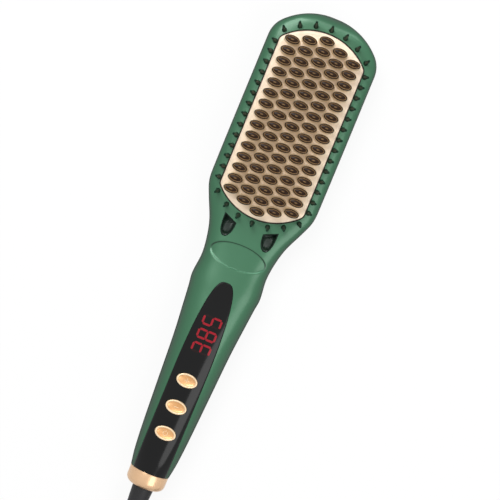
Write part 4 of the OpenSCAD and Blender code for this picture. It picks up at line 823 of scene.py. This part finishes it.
# ------------------------------------------------------------------ the housing
SCREW_HOLE_R, SCREW_PLUG_R, SCREW_HOLE_TOP = 2.8, 2.75, 9
HEAD_SCREW_OFFSET, HEAD_SCREW_SHARES = 1.1, (-0.324, 0.342)  # outside the plate's sides, and along its length
GRIP_SCREW_SHARE, GRIP_SCREW_DROP = 0.311, 2  # share of the shoulder's width, and place below the shoulder
GROOVE_SPREAD = 0.2  # how far the seam's groove reaches up and down
BADGE_LINE_Z, BADGE_LINE_SHARE = 18, 0.49  # a height between seam and skin, and the line's share of the badge
SKIN_CELLS = 116
LIPS = (0.0, 0.1, 0.2, 0.34, 0.7)  # heights of the skin's first rows over the seam
PORT_MIDDLE = (0, 7.0)
PORT_TOP_LEFT, PORT_TOP_RIGHT = [-4.2, 9.1], [3.8, 12.6]


def bezier(a, b, c, n):
    """A curve from a to c, pulled towards b."""
    t = np.linspace(0, 1, n + 1)[:, None]
    return (1 - t) ** 2 * np.array(a) + 2 * t * (1 - t) * np.array(b) + t**2 * np.array(c)


def port_outline(g, side=1):
    """Fang-shaped outline of a port, grown by g."""
    middle = np.array(PORT_MIDDLE)
    shape = np.vstack([bezier(PORT_TOP_RIGHT, [4.1, 1.4], [0.6, 0], 24),
                       bezier([-0.6, 0], [-4.1, 1.6], PORT_TOP_LEFT, 24),
                       np.linspace(PORT_TOP_LEFT, PORT_TOP_RIGHT, 14)[1:-1]])
    grown = middle + (shape - middle) * (1 + g / 5) + [PORT_X, PLATE_LOW_Y - PORT_DROP]
    return grown * [side, 1] if side > 0 else (grown * [-1, 1])[::-1]


def plate_outline(g):
    """Outline of the plate, grown by g: straight sides, round ends and rounded corners."""
    cr, er = PLATE_CORNER_R + g, PLATE_END_R + g
    cx, ay = PLATE_W / 2 - PLATE_CORNER_R, PLATE_LEN / 2 - PLATE_END_R
    cy = ay + math.sqrt((PLATE_END_R - PLATE_CORNER_R) ** 2 - cx**2)
    turn = math.degrees(math.atan2(cy - ay, cx))
    q = np.vstack([arc(cx, cy, cr, 0, turn, 10), arc(0, ay, er, turn, 90, 24)[1:]])
    loop = np.vstack([q, q[-2::-1] * [-1, 1], q * [-1, -1], q[-2::-1] * [1, -1]])
    keep = [k for k in range(len(loop)) if np.linalg.norm(loop[k] - loop[k - 1]) > 1e-6]
    return loop[keep] + [0, PLATE_Y]


def panel_half(y, g=0.0):
    """Half of the panel's width at y, grown by g."""
    u = np.clip((PANEL_TIP_Y - np.asarray(y, float)) / PANEL_TIP_LEN, 0, 1)
    return g + PANEL_W / 2 * (1 - (1 - u) ** 2) ** (1 / 3)


def panel_outline(g):
    """Outline of the panel, grown by g, with its tip towards the head."""
    u = np.linspace(0, 1, 40) ** 3
    ys = np.r_[PANEL_TIP_Y - 0.02 - u * PANEL_TIP_LEN * 0.98, Y_END - 0.1]
    right = np.c_[panel_half(ys, g), ys + (g if g < 0 else 0) * (ys > Y_END)]
    return np.vstack([right, right[::-1] * [-1, 1]])


def shell_rows():
    """Places along the brush: close together at the nose, the neck's badge and the ports."""
    nose_rows = TIP - (TIP - CORNER_Y) * (1 - np.cos(np.linspace(0, math.pi / 2, 40)))
    return np.unique(np.round(np.r_[nose_rows, np.arange(CORNER_Y, Y_HEAD, -1.5), np.arange(Y_HEAD, 10, -0.9),
                                    np.arange(10, -12, -0.35), np.arange(-12, Y_END, -1.1), Y_END], 4))[::-1]


class BRUSH_OT_housing(bpy.types.Operator):
    """The two halves of the housing and the plugs over its screws"""

    bl_idname = "brush.housing"
    bl_label = "Housing"

    def shell(self, up):
        """The upper or the lower half, as its outer skin and the inner side of its wall."""
        ys = shell_rows()
        # Even out the steps: the walls get more of them
        even = np.linspace(0, math.pi, SKIN_CELLS + 1)
        even = (even - 0.09 * np.sin(4 * even))[None, 1:-1] / math.pi
        skins = []
        for g in (0.0, WALL):
            y = np.minimum(ys, TIP - g)[:, None]
            n, seam = shape_at(y, 5 if up else 6), shape_at(y, 4)
            reach = (shape_at(y, 2) - seam - g if up else shape_at(y, 3) - seam + g) * nose(y, g)
            # The first steps from the seam are small, for its groove
            near = np.arcsin(np.minimum(np.array(LIPS) / np.maximum(np.abs(reach), 2.0), 0.4) ** (n / 2))
            first = near[:, -1:]
            angle = np.hstack([near, first + (math.pi - 2 * first) * even, math.pi - near[:, ::-1]])
            y = y * np.ones(angle.shape)
            c, s = np.cos(angle), np.maximum(np.sin(angle), 0)
            x = np.sign(c) * np.abs(c) ** (2 / n) * half_width(y, g)
            z = seam + reach * s ** (2 / n)
            if not g:
                groove = size_of("seam_groove") * np.exp(-((z - seam) / GROOVE_SPREAD) ** 2)
                x = x - np.sign(x) * np.minimum(groove, np.abs(x) * 0.5)
                if up:
                    d = np.sqrt((x / (BADGE_L / 2)) ** 2 + ((y - BADGE_Y) / (BADGE_W / 2)) ** 2)
                    z = z - BADGE_DEPTH * (1 - soft_step((d - 0.93) / 0.1)) * (z > seam + 5)
                else:
                    z = np.maximum(z, 0.0)
            skins.append(np.stack([x, y, z], -1))
        return closed_skin(*skins)

    def execute(self, context):
        paint = use("Green enamel", colour=colour_of("housing"), second=colour_of("housing_light"), drift=0.35,
                    drift_scale=9.0, rough=0.36, spread=0.08, metal=0.25, coat=0.3, coat_rough=0.18, grain=2600.0,
                    # edge: painted shade, darker where the housing is seen at a slant
                    bump=0.004, edge=((0.06, 0.11, 0.075), 0.62, 1.9), ior=1.4,
                    # line: the badge's outline, with painted shadow above and painted highlight below
                    line=((0.07, 0.17, 0.11), (0.26, 0.49, 0.365), (0, BADGE_Y, BADGE_LINE_Z),
                          (BADGE_L * BADGE_LINE_SHARE, BADGE_W * BADGE_LINE_SHARE), 0.055))
        front = piece("front_shell", *self.shell(True), paint, node="front_housing", slot="housing_green")
        cut(front, [
            prism(plate_outline(SEAL_W), PLATE_TOP - 6, HEAD_H + 5),
            prism(port_outline(0.1), 15, HEAD_H + 8), prism(port_outline(0.1, -1), 15, HEAD_H + 8),
            prism(panel_outline(PANEL_GAP), 20.5, GRIP_H + 8),
        ], sharp=30)
        back = piece("rear_shell", *self.shell(False), paint, node="rear_housing", slot="housing_green")
        hole, ring = oval(SCREW_HOLE_R, SCREW_HOLE_R, 48), oval(SCREW_PLUG_R, SCREW_PLUG_R, 40)
        cut(back, [prism(hole + place, -2, SCREW_HOLE_TOP) for place in self.screws()], sharp=30)
        plugs = []
        for x, y in self.screws():
            # Flush with the back where it curves up beside the screw
            low = max(0.0, self.sole(abs(x) + SCREW_HOLE_R, y))
            plugs.append(loft([level(ring * s + [x, y], low + z) for s, z in
                               ((0.02, 0), (0.86, 0), (0.96, 0.08), (1, 0.3), (1, 1.9))]))
        rubber = use("Screw plug rubber", colour=(0.20, 0.38, 0.29), rough=0.6, grain=1800.0, bump=0.02)
        piece("screw_covers", *joined(plugs), rubber, node="screw_plugs", slot="housing_green")
        return {"FINISHED"}

    @staticmethod
    def screws():
        """Places of the six screws: four beside the plate, two in the grip."""
        return [(x * (PLATE_W / 2 + HEAD_SCREW_OFFSET), PLATE_Y + share * PLATE_LEN)
                for x in (-1, 1) for share in HEAD_SCREW_SHARES] + [
            (x * GRIP_SCREW_SHARE * SHOULDER_W, Y_SHOULDER - GRIP_SCREW_DROP) for x in (-1, 1)]

    @staticmethod
    def sole(x, y):
        """Height of the lower skin."""
        n, seam = shape_at(y, 6), shape_at(y, 4)
        share = min(1, x / half_width(y))
        return float(seam - (seam - shape_at(y, 3)) * (1 - share**n) ** (1 / n))


# ------------------------------------------------------------------ plate, teeth and caps
TOOTH_SIDES = 48
# Shares of the shoulder's radius, and drops under the cap's top
CAP_LIP = ((0, 1.0), (0.04, 0.6), (0.16, 0.3), (0.36, 0.09), (0.61, 0.02), (0.83, 0.1), (1.0, 0.3), (1.09, 0.55),
           (1.2, 0.66), (1.33, 0.62))
CAP_CROWN = 0.43  # drop of the middle's crown


def tooth_places():
    """Middles of the teeth: five columns, each one tooth shorter than the one inside it."""
    return [(c * COLUMN_PITCH, PLATE_Y + (k - (MIDDLE_TEETH - 1 - abs(c)) / 2) * TOOTH_PITCH)
            for c in range(-2, 3) for k in range(MIDDLE_TEETH - abs(c))]


class BRUSH_OT_plate(bpy.types.Operator):
    """The heated plate with its seal, its teeth and their caps"""

    bl_idname = "brush.plate"
    bl_label = "Heated plate"

    def execute(self, context):
        # Its glow is painted light, lifting the plate between the teeth where shade falls
        gold = use("Plate gold", colour=colour_of("plate"), second=(0.88, 0.81, 0.71), drift=0.5, drift_scale=16.0,
                   rough=0.42, spread=0.1, metal=0.1, grain=1600.0, bump=0.01, glow=0.16)
        rings = [level(plate_outline(g), PLATE_TOP - drop) for g, drop in
                 ((-0.9, 3.8), (0, 3.8), (0, 0.45), (-0.1, 0.15), (-0.4, 0), (-2.0, 0))]
        piece("plate_sheet", *loft(rings), gold, node="heating_plate", slot="plate_gold")

        # Paler towards the roots and glowing: painted light against the shade between the teeth
        wall = use("Tooth gold", colour=(0.76, 0.67, 0.53), second=(0.82, 0.74, 0.60), drift=0.6, drift_scale=60.0,
                   rough=0.36, metal=0.2, grain=1200.0, bump=0.01, glow=0.12,
                   fade=((0.88, 0.82, 0.72), PLATE_TOP + 0.1, PLATE_TOP + 4.0))
        root = size_of("tooth_root")
        fillet = [(-root * (1 - math.sin(a)), root * (1 - math.cos(a))) for a in np.radians((0, 31.5, 63, 90))]
        sides = fillet + [(TOOTH_DRAFT * 0.5, TOOTH_H * 0.5), (TOOTH_DRAFT, TOOTH_H)]
        points, faces = loft([level(oval(TOOTH_L / 2 - g, TOOTH_W / 2 - g, TOOTH_SIDES), PLATE_TOP + z)
                              for g, z in sides], (False, True))
        places = tooth_places()
        piece("plate_teeth", *joined([(points + [x, y, 0], faces) for x, y in places]), wall, node="heating_plate",
              slot="plate_gold")

        self.caps(places)

        seal = use("Seal silicone", colour=(0.16, 0.12, 0.09), rough=0.6, grain=1500.0, bump=0.02)
        low, mid, high = (PLATE_TOP - drop for drop in (2.2, SEAL_SINK + 0.12, SEAL_SINK))
        rings = [level(plate_outline(g), z) for g, z in
                 ((0.02, low), (0.02, mid), (0.15, high), (0.55, high), (SEAL_W - 0.02, mid), (SEAL_W - 0.02, low))]
        piece("seal_ring", *hoop(rings), seal, node="plate_seal", slot="seal_rubber")
        return {"FINISHED"}

    def caps(self, places):
        """A cap on each tooth: a rounded lip round a sunk, slightly crowned middle."""
        base, top, edge = PLATE_TOP + TOOTH_H, PLATE_TOP + TOOTH_H + CAP_H, size_of("cap_edge")
        brown = use("Cap brown", colour=colour_of("cap"), second=(0.18, 0.12, 0.07), drift=0.5, drift_scale=120.0,
                    rough=0.24, spread=0.1, grain=1500.0, bump=0.008, ior=1.24,
                    fade=((0.15, 0.085, 0.03), top - 0.3, top - 0.04))
        # A paler brown, a painted highlight on the lip and the middle's crown
        painted_highlight_finish = use("Cap lip", colour=(0.44, 0.33, 0.21), second=(0.52, 0.41, 0.27), drift=0.5, drift_scale=120.0,
                   rough=0.24, spread=0.1, grain=1500.0, bump=0.008, ior=1.3)
        a, b = TOOTH_L / 2 - TOOTH_DRAFT + 0.1, TOOTH_W / 2 - TOOTH_DRAFT + 0.1
        rows = [(0.12, 0.0), (0.0, 0.12)] + [(edge * share, CAP_H - drop) for share, drop in CAP_LIP]
        rings = [level(oval(a - g, b - g, TOOTH_SIDES), base + z) for g, z in rows]
        g, z = rows[-1]  # where the middle begins
        rings += [level(oval((a - g) * f, (b - g) * f, TOOTH_SIDES), base + mix(CAP_H - CAP_CROWN, z, f * f))
                  for f in (0.8, 0.55, 0.3, 0.02)]
        points, faces = loft(rings)
        obj = piece("cap_set", *joined([(points + [x, y, 0], faces) for x, y in places]), [brown, painted_highlight_finish],
                    node="tooth_caps", slot="cap_brown", sharp=45)
        if len(obj.data.polygons) != len(faces) * len(places):
            raise RuntimeError("a cap has lost faces")
        # Painted highlight: the lip's rows from its crest inwards, and the crown of the middle, take the paler brown as
        # if they catch the light
        painted_highlight_rows = [row for row, (g, _) in enumerate(rows) if edge * 0.5 < g < edge * 1.05] + [len(rings) - 2]
        obj.data.polygons.foreach_set("material_index", [
            int(k % len(faces) // TOOTH_SIDES in painted_highlight_rows) for k in range(len(obj.data.polygons))])


class BRUSH_OT_guard_pins(bpy.types.Operator):
    """The dark pins that ring the plate"""

    bl_idname = "brush.guard_pins"
    bl_label = "Guard pins"

    def execute(self, context):
        dark = use("Pin plastic", colour=(0.05, 0.17, 0.12), second=(0.07, 0.20, 0.15), drift=0.6, drift_scale=200.0,
                   rough=0.45, grain=1500.0, bump=0.01, ior=1.18)
        tip_r = PIN_TIP_D / 2
        profile = [(0.1, -0.9), (COLLAR_D / 2, -0.9), (COLLAR_D / 2, 0.25), (COLLAR_D / 2 - 0.12, 0.45),
                   (PIN_D / 2 + 0.12, 0.85), (PIN_D / 2, 1.2), (mix(PIN_D, PIN_TIP_D, 0.5) / 2, PIN_H * 0.55),
                   (tip_r, PIN_H - tip_r)]
        profile += [(tip_r * math.cos(a), PIN_H - tip_r * (1 - math.sin(a))) for a in (0.5, 0.9, 1.2, 1.45)]
        points, faces = loft([level(oval(r, r, 24), z) for r, z in profile])
        parts = []
        for x, y, turn in self.places():
            leant = Matrix.Rotation(math.radians(turn), 3, "Z") @ Matrix.Rotation(math.radians(PIN_LEAN), 3, "Y")
            parts.append((points @ np.array(leant).T + [x, y, float(crown(x, y))], faces))
        piece("pin_ring", *joined(parts), dark, node="guard_pins", slot="pin_dark", sharp=40)
        return {"FINISHED"}

    @staticmethod
    def places():
        """Places of the pins and the directions in which they lean: along both sides, then round both ends."""
        found = [(side * (PLATE_W / 2 + PIN_OFFSET), PLATE_Y + (k - (SIDE_PINS - 1) / 2) * PIN_PITCH,
                  0 if side > 0 else 180) for side in (-1, 1) for k in range(SIDE_PINS)]
        r, cy = PLATE_END_R + PIN_OFFSET + END_PIN_GAP, PLATE_LEN / 2 - PLATE_END_R
        for end in (-1, 1):
            for k in range(-3, 4):
                turn = end * 90 - end * k * END_PIN_STEP
                a = math.radians(turn)
                found.append((r * math.cos(a), PLATE_Y + end * cy + r * math.sin(a), turn))
        return found


class BRUSH_OT_ports(bpy.types.Operator):
    """The two fang-shaped outlets in the neck"""

    bl_idname = "brush.ports"
    bl_label = "Outlet ports"

    def execute(self, context):
        gloss = use("Port black", colour=(0.07, 0.13, 0.10), second=(0.10, 0.17, 0.13), drift=0.5, drift_scale=40.0,
                    rough=0.24, spread=0.05, grain=1200.0, bump=0.002, ior=1.3)
        low_y = PLATE_LOW_Y - PORT_DROP
        # The lip lies just under the skin's lowest place along the port
        top = min(float(crown(PORT_X + 4, low_y + 12)), float(crown(PORT_X, low_y))) - 0.1
        for side, name, cad in ((1, "outlet_right", "ion_port_right"), (-1, "outlet_left", "ion_port_left")):
            rings = [level(port_outline(g, side), top - drop) for g, drop in
                     ((-3.2, 7.6), (0, 7.6), (0, 0.12), (-0.12, 0.0), (-0.55, 0.0), (-0.85, 0.25))]
            # The throat goes deeper towards the plate
            for g, share in ((-1.3, 0.85), (-2.4, 1.0), (-3.6, 1.0)):
                loop = port_outline(g, side)
                depth = 0.5 + (loop[:, 1] - low_y) * PORT_DEPTH / PORT_LEN
                rings.append(np.c_[loop, top - np.clip(depth, 0.4, PORT_DEPTH) * share])
            piece(name, *loft(rings), gloss, node=cad, slot="port_dark", sharp=35)
        return {"FINISHED"}


# ------------------------------------------------------------------ panel, display and buttons
TIP_ROWS_LEN = 55  # length from the panel's tip over which its rows are crowded
# Bars of a digit as (place across the panel, place along it, lies across), and the bars that each digit lights
BAR_REACH, BAR_SIDE = (DIGIT_H - BAR_W) / 2, (DIGIT_W - BAR_W) / 2
BARS = (
    (-BAR_REACH, 0, False), (0, 0, False), (BAR_REACH, 0, False), (-BAR_REACH / 2, -BAR_SIDE, True),
    (-BAR_REACH / 2, BAR_SIDE, True), (BAR_REACH / 2, -BAR_SIDE, True), (BAR_REACH / 2, BAR_SIDE, True),
)
LIT_BARS = {3: (0, 1, 2, 4, 6), 8: range(7), 5: (0, 1, 2, 3, 6)}
SHOWN = (3, 8, 5)
BUTTON_NAMES = ("temp_up", "temp_down", "power")
BUTTON_SIDES, BUTTON_ROUND = 80, 0.4


class BRUSH_OT_panel(bpy.types.Operator):
    """The gloss panel and the red bars of its display"""

    bl_idname = "brush.panel"
    bl_label = "Control panel"

    def execute(self, context):
        gloss = use("Panel gloss", colour=(0.035, 0.036, 0.038), second=(0.05, 0.052, 0.055), drift=0.6,
                    drift_scale=25.0, rough=0.14, spread=0.05, grain=700.0, bump=0.001, ior=1.3)
        edge = size_of("panel_edge")
        ys = np.unique(np.round(np.r_[PANEL_TIP_Y - 0.02 - TIP_ROWS_LEN * np.linspace(0, 1, 70) ** 2.4,
                                      np.arange(PANEL_TIP_Y - TIP_ROWS_LEN, Y_END + 0.5, -0.8),
                                      Y_END + np.array([0.5, 0.35, 0.2, 0.08, 0.0])], 4))[::-1]
        across = np.sin(np.linspace(-math.pi / 2, math.pi / 2, 41))
        y = ys[:, None] * np.ones(len(across))
        half = panel_half(y)
        x = half * across
        slope = np.gradient(panel_half(ys), ys)[:, None]
        # d is the distance from the panel's edge, over which its top falls
        d = (half - np.abs(x)) / np.sqrt(1 + slope**2)
        d = np.minimum(d, y - Y_END)
        fall = edge * (1 - np.sqrt(np.clip(1 - (1 - np.clip(d / edge, 0, 1)) ** 2, 0, 1)))
        z = crown(x, y, -PANEL_PROUD) - fall
        panel = piece("panel_gloss", *closed_skin(np.stack([x, y, z], -1),
                                                  np.stack([x, y, crown(x, y, PANEL_T - PANEL_PROUD)], -1)),
                      gloss, node="control_panel", slot="panel_black")
        cut(panel, [prism(oval(BUTTON_L / 2 + BUTTON_GAP, BUTTON_W / 2 + BUTTON_GAP, 72) + [0, b], 20, 36)
                    for b in BUTTON_YS], sharp=30)
        self.digits()
        return {"FINISHED"}

    def digits(self):
        """Three digits of seven bars each, lit or dark."""
        lit = use("Lit bars", colour=colour_of("digits"), second=(0.60, 0.10, 0.15), drift=0.3, drift_scale=200.0,
                  rough=0.3, grain=900.0, bump=0.002, glow=0.12, ior=1.3)
        unlit = use("Unlit bars", colour=(0.10, 0.035, 0.04), rough=0.2, grain=900.0, bump=0.002, ior=1.3)
        parts, owners = [], []
        for place, number in zip((-1, 0, 1), SHOWN):
            for k, (bx, by, lies) in enumerate(BARS):
                half, w = (BAR_REACH / 2 if lies else BAR_SIDE) - BAR_GAP, BAR_W / 2
                line = np.array([[-half, 0], [w - half, w], [half - w, w], [half, 0], [half - w, -w], [w - half, -w]])
                if not lies:
                    line = np.c_[line[:, 1], -line[:, 0]]
                line = line + [DISPLAY_X + bx, DISPLAY_Y + place * DIGIT_PITCH + by]
                dense = np.vstack([np.linspace(line[i], line[(i + 1) % 6], 5)[:-1] for i in range(6)])
                inner = mix(dense.mean(0), dense, 0.5)
                parts.append(loft([np.c_[ring, crown(ring[:, 0], ring[:, 1], depth)] for ring, depth in
                                   ((dense, 0.4), (dense, -PANEL_PROUD - 0.03), (inner, -PANEL_PROUD - 0.035))]))
                owners += [0 if k in LIT_BARS[number] else 1] * len(parts[-1][1])
        obj = piece("display_bars", *joined(parts), [lit, unlit], node="display_segments", slot="display_red", sharp=25)
        if len(obj.data.polygons) != len(owners):
            raise RuntimeError("the bars of the display lost faces")
        obj.data.polygons.foreach_set("material_index", owners)


class BRUSH_OT_buttons(bpy.types.Operator):
    """The three dished gold buttons"""

    bl_idname = "brush.buttons"
    bl_label = "Buttons"

    def execute(self, context):
        hollow = use("Button gold", colour=colour_of("button"), second=(0.93, 0.76, 0.56), drift=0.5, drift_scale=150.0,
                     rough=0.34, spread=0.1, metal=0.5, grain=1400.0, bump=0.006)
        # A paler copy of the gold, painted as if lit, for the rim and the marks
        rim = use("Button rim", colour=(0.92, 0.82, 0.68), second=(0.90, 0.76, 0.58), drift=0.4, drift_scale=150.0,
                  rough=0.3, spread=0.1, metal=0.4, grain=1400.0, bump=0.006)
        a, b, dish = BUTTON_L / 2, BUTTON_W / 2, size_of("button_dish")
        for name, y in zip(BUTTON_NAMES, BUTTON_YS):
            top = float(crown(0, y, -PANEL_PROUD)) + BUTTON_PROUD
            rows = [(0.0, top - 4.2), (0.0, top - BUTTON_ROUND)]
            rows += [(BUTTON_ROUND * (1 - math.cos(t)), top - BUTTON_ROUND * (1 - math.sin(t)))
                     for t in np.linspace(0, math.pi / 2, 6)[1:]]
            rows += [(0.7, top), (0.85, top - 0.08), (1.1, top - 0.4), (1.5, top - 0.6)]
            rings = [level(oval(a - g, b - g, BUTTON_SIDES) + [0, y], z) for g, z in rows]
            g, z = rows[-1]
            rings += [level(oval((a - g) * f, (b - g) * f, BUTTON_SIDES) + [0, y], mix(top - dish - 0.05, z, f * f))
                      for f in (0.8, 0.6, 0.4, 0.2, 0.02)]
            parts = [loft(rings)] + [self.raised(line, y, top - dish) for line in self.marks()[name]]
            cap = piece(name + "_cap", *joined(parts), [rim, hollow], body=name + "_key", node=name + "_button",
                        slot="button_gold", sharp=40)
            # Painted shade and light: the dish takes the darker gold, as if in shade, and its rim and marks the paler
            # one, as if lit
            for face in cap.data.polygons:
                x, along, z = face.center / MM
                inside = (x / (a - 1.2)) ** 2 + ((along - y) / (b - 1.2)) ** 2 < 1
                face.material_index = int(inside and face.index < len(parts[0][1]) and z > top - 1.5)
        return {"FINISHED"}

    @staticmethod
    def marks():
        """Plain marks in the dishes, as lines: plus, minus, and an open ring with a bar."""
        dash = np.c_[np.linspace(-1.5, 1.5, 9), np.zeros(9)]
        turn = np.radians(np.linspace(130, 410, 29))
        return {"temp_up": [dash, dash[:, ::-1] * 0.93], "temp_down": [dash],
                "power": [1.3 * np.c_[np.cos(turn), np.sin(turn)], np.c_[np.zeros(5), np.linspace(0.5, 1.7, 5)]]}

    @staticmethod
    def raised(line, y, floor, half=0.22, high=0.2):
        """A low ridge along a line, with sloped sides."""
        ahead = np.gradient(line, axis=0)
        ahead /= np.linalg.norm(ahead, axis=1)[:, None]
        side = np.c_[-ahead[:, 1], ahead[:, 0]]
        section = ((-half, -0.3), (-half, 0.06), (-half * 0.6, high), (half * 0.6, high), (half, 0.06), (half, -0.3))
        return loft([[[*(p + q * w + [0, y]), floor + z] for w, z in section] for p, q in zip(line, side)])


# ------------------------------------------------------------------ the cuff and the pieces inside
METALS = {"brushed_steel", "aluminium", "brass", "chrome"}
SOCKET_R, SOCKET_FLOOR, MOUTH_R = 9.42, 3.4, 6.5  # the cuff's inside: the grip's spigot, its stop, the boot's mouth


class BRUSH_OT_cuff(bpy.types.Operator):
    """The plated cuff at the end of the grip"""

    bl_idname = "brush.cuff"
    bl_label = "End cuff"

    def execute(self, context):
        gold = use("Cuff gold", colour=colour_of("cuff"), second=(0.88, 0.76, 0.63), drift=0.4, drift_scale=60.0,
                   rough=0.3, spread=0.08, metal=0.55, grain=1200.0, bump=0.004)
        r, face = CUFF_D / 2, -TIP
        profile = [(SOCKET_R, Y_END - 0.02), (SOCKET_R, face + SOCKET_FLOOR), (MOUTH_R, face + SOCKET_FLOOR),
                   (MOUTH_R, face + 0.3), (MOUTH_R + 0.3, face)]
        profile += [(r - CUFF_ROUND * (1 - math.sin(t)), face + CUFF_ROUND * (1 - math.cos(t)))
                    for t in np.linspace(0, math.pi / 2, 14)]
        profile += [(r, Y_END - 0.5), (r - 0.08, Y_END - 0.2), (r - 0.3, Y_END - 0.02)]
        piece("cuff_plated", *lathe(profile, 128, close=hoop), gold, node="end_cuff", slot="cuff_gold", sharp=35)
        return {"FINISHED"}


class BRUSH_OT_inside(bpy.types.Operator):
    """Finishes of the pieces inside, which stay as the frame has them"""

    bl_idname = "brush.inside"
    bl_label = "Inside pieces"

    def execute(self, context):
        slots = {s["node"]: s["material_slot"] for s in RECORD["subparts"]}
        facts = {m["slot"]: m for m in RECORD["materials"]}
        for name, obj in frame["nodes"].items():
            if obj.hide_render:
                continue
            fact = facts[slots[name]]
            colour = tuple(fact["base_color"][:3])
            metal = 1.0 if fact["class"] in METALS else 0.0
            made = use("Inside " + fact["slot"].replace("_", " "), colour=colour,
                       second=tuple(min(1, c * 1.12 + 0.01) for c in colour), drift=0.5, drift_scale=140.0,
                       rough=0.3 if metal else 0.5, metal=metal, grain=1500.0,
                       stretch=(1, 0.15, 1) if metal else (1, 1, 1), bump=0.012)
            obj.data.materials.clear()
            obj.data.materials.append(made)
        return {"FINISHED"}


class BRUSH_PT_pieces(bpy.types.Panel):
    """Sizes, colours and one button for each piece"""

    bl_idname = "BRUSH_PT_pieces"
    bl_label = "Hair Straightener Brush"
    bl_space_type = "VIEW_3D"
    bl_region_type = "UI"
    bl_category = "Brush"

    def draw(self, context):
        layout = self.layout
        for group_name in ("brush_sizes", "brush_colours"):
            settings = getattr(context.scene, group_name)
            box = layout.box()
            for key in settings.__annotations__:
                box.prop(settings, key)
        for maker in MAKERS:
            layout.operator(maker.bl_idname)


MAKERS = (
    BRUSH_OT_stage, BRUSH_OT_mains_cord, BRUSH_OT_housing, BRUSH_OT_plate, BRUSH_OT_guard_pins, BRUSH_OT_ports,
    BRUSH_OT_panel, BRUSH_OT_buttons, BRUSH_OT_cuff, BRUSH_OT_inside,
)
CLASSES = (BrushSizes, BrushColours, *MAKERS, BRUSH_PT_pieces)


def register():
    for cls in CLASSES:
        bpy.utils.register_class(cls)
    bpy.types.Scene.brush_sizes = bpy.props.PointerProperty(type=BrushSizes)
    bpy.types.Scene.brush_colours = bpy.props.PointerProperty(type=BrushColours)


def unregister():
    del bpy.types.Scene.brush_colours
    del bpy.types.Scene.brush_sizes
    for cls in reversed(CLASSES):
        bpy.utils.unregister_class(cls)


def main():
    """Builds the stage and every piece, in order."""
    register()
    bpy.ops.brush.stage()
    bpy.ops.brush.mains_cord()
    bpy.ops.brush.housing()
    bpy.ops.brush.plate()
    bpy.ops.brush.guard_pins()
    bpy.ops.brush.ports()
    bpy.ops.brush.panel()
    bpy.ops.brush.buttons()
    bpy.ops.brush.cuff()
    bpy.ops.brush.inside()


if __name__ == "__main__":
    main()
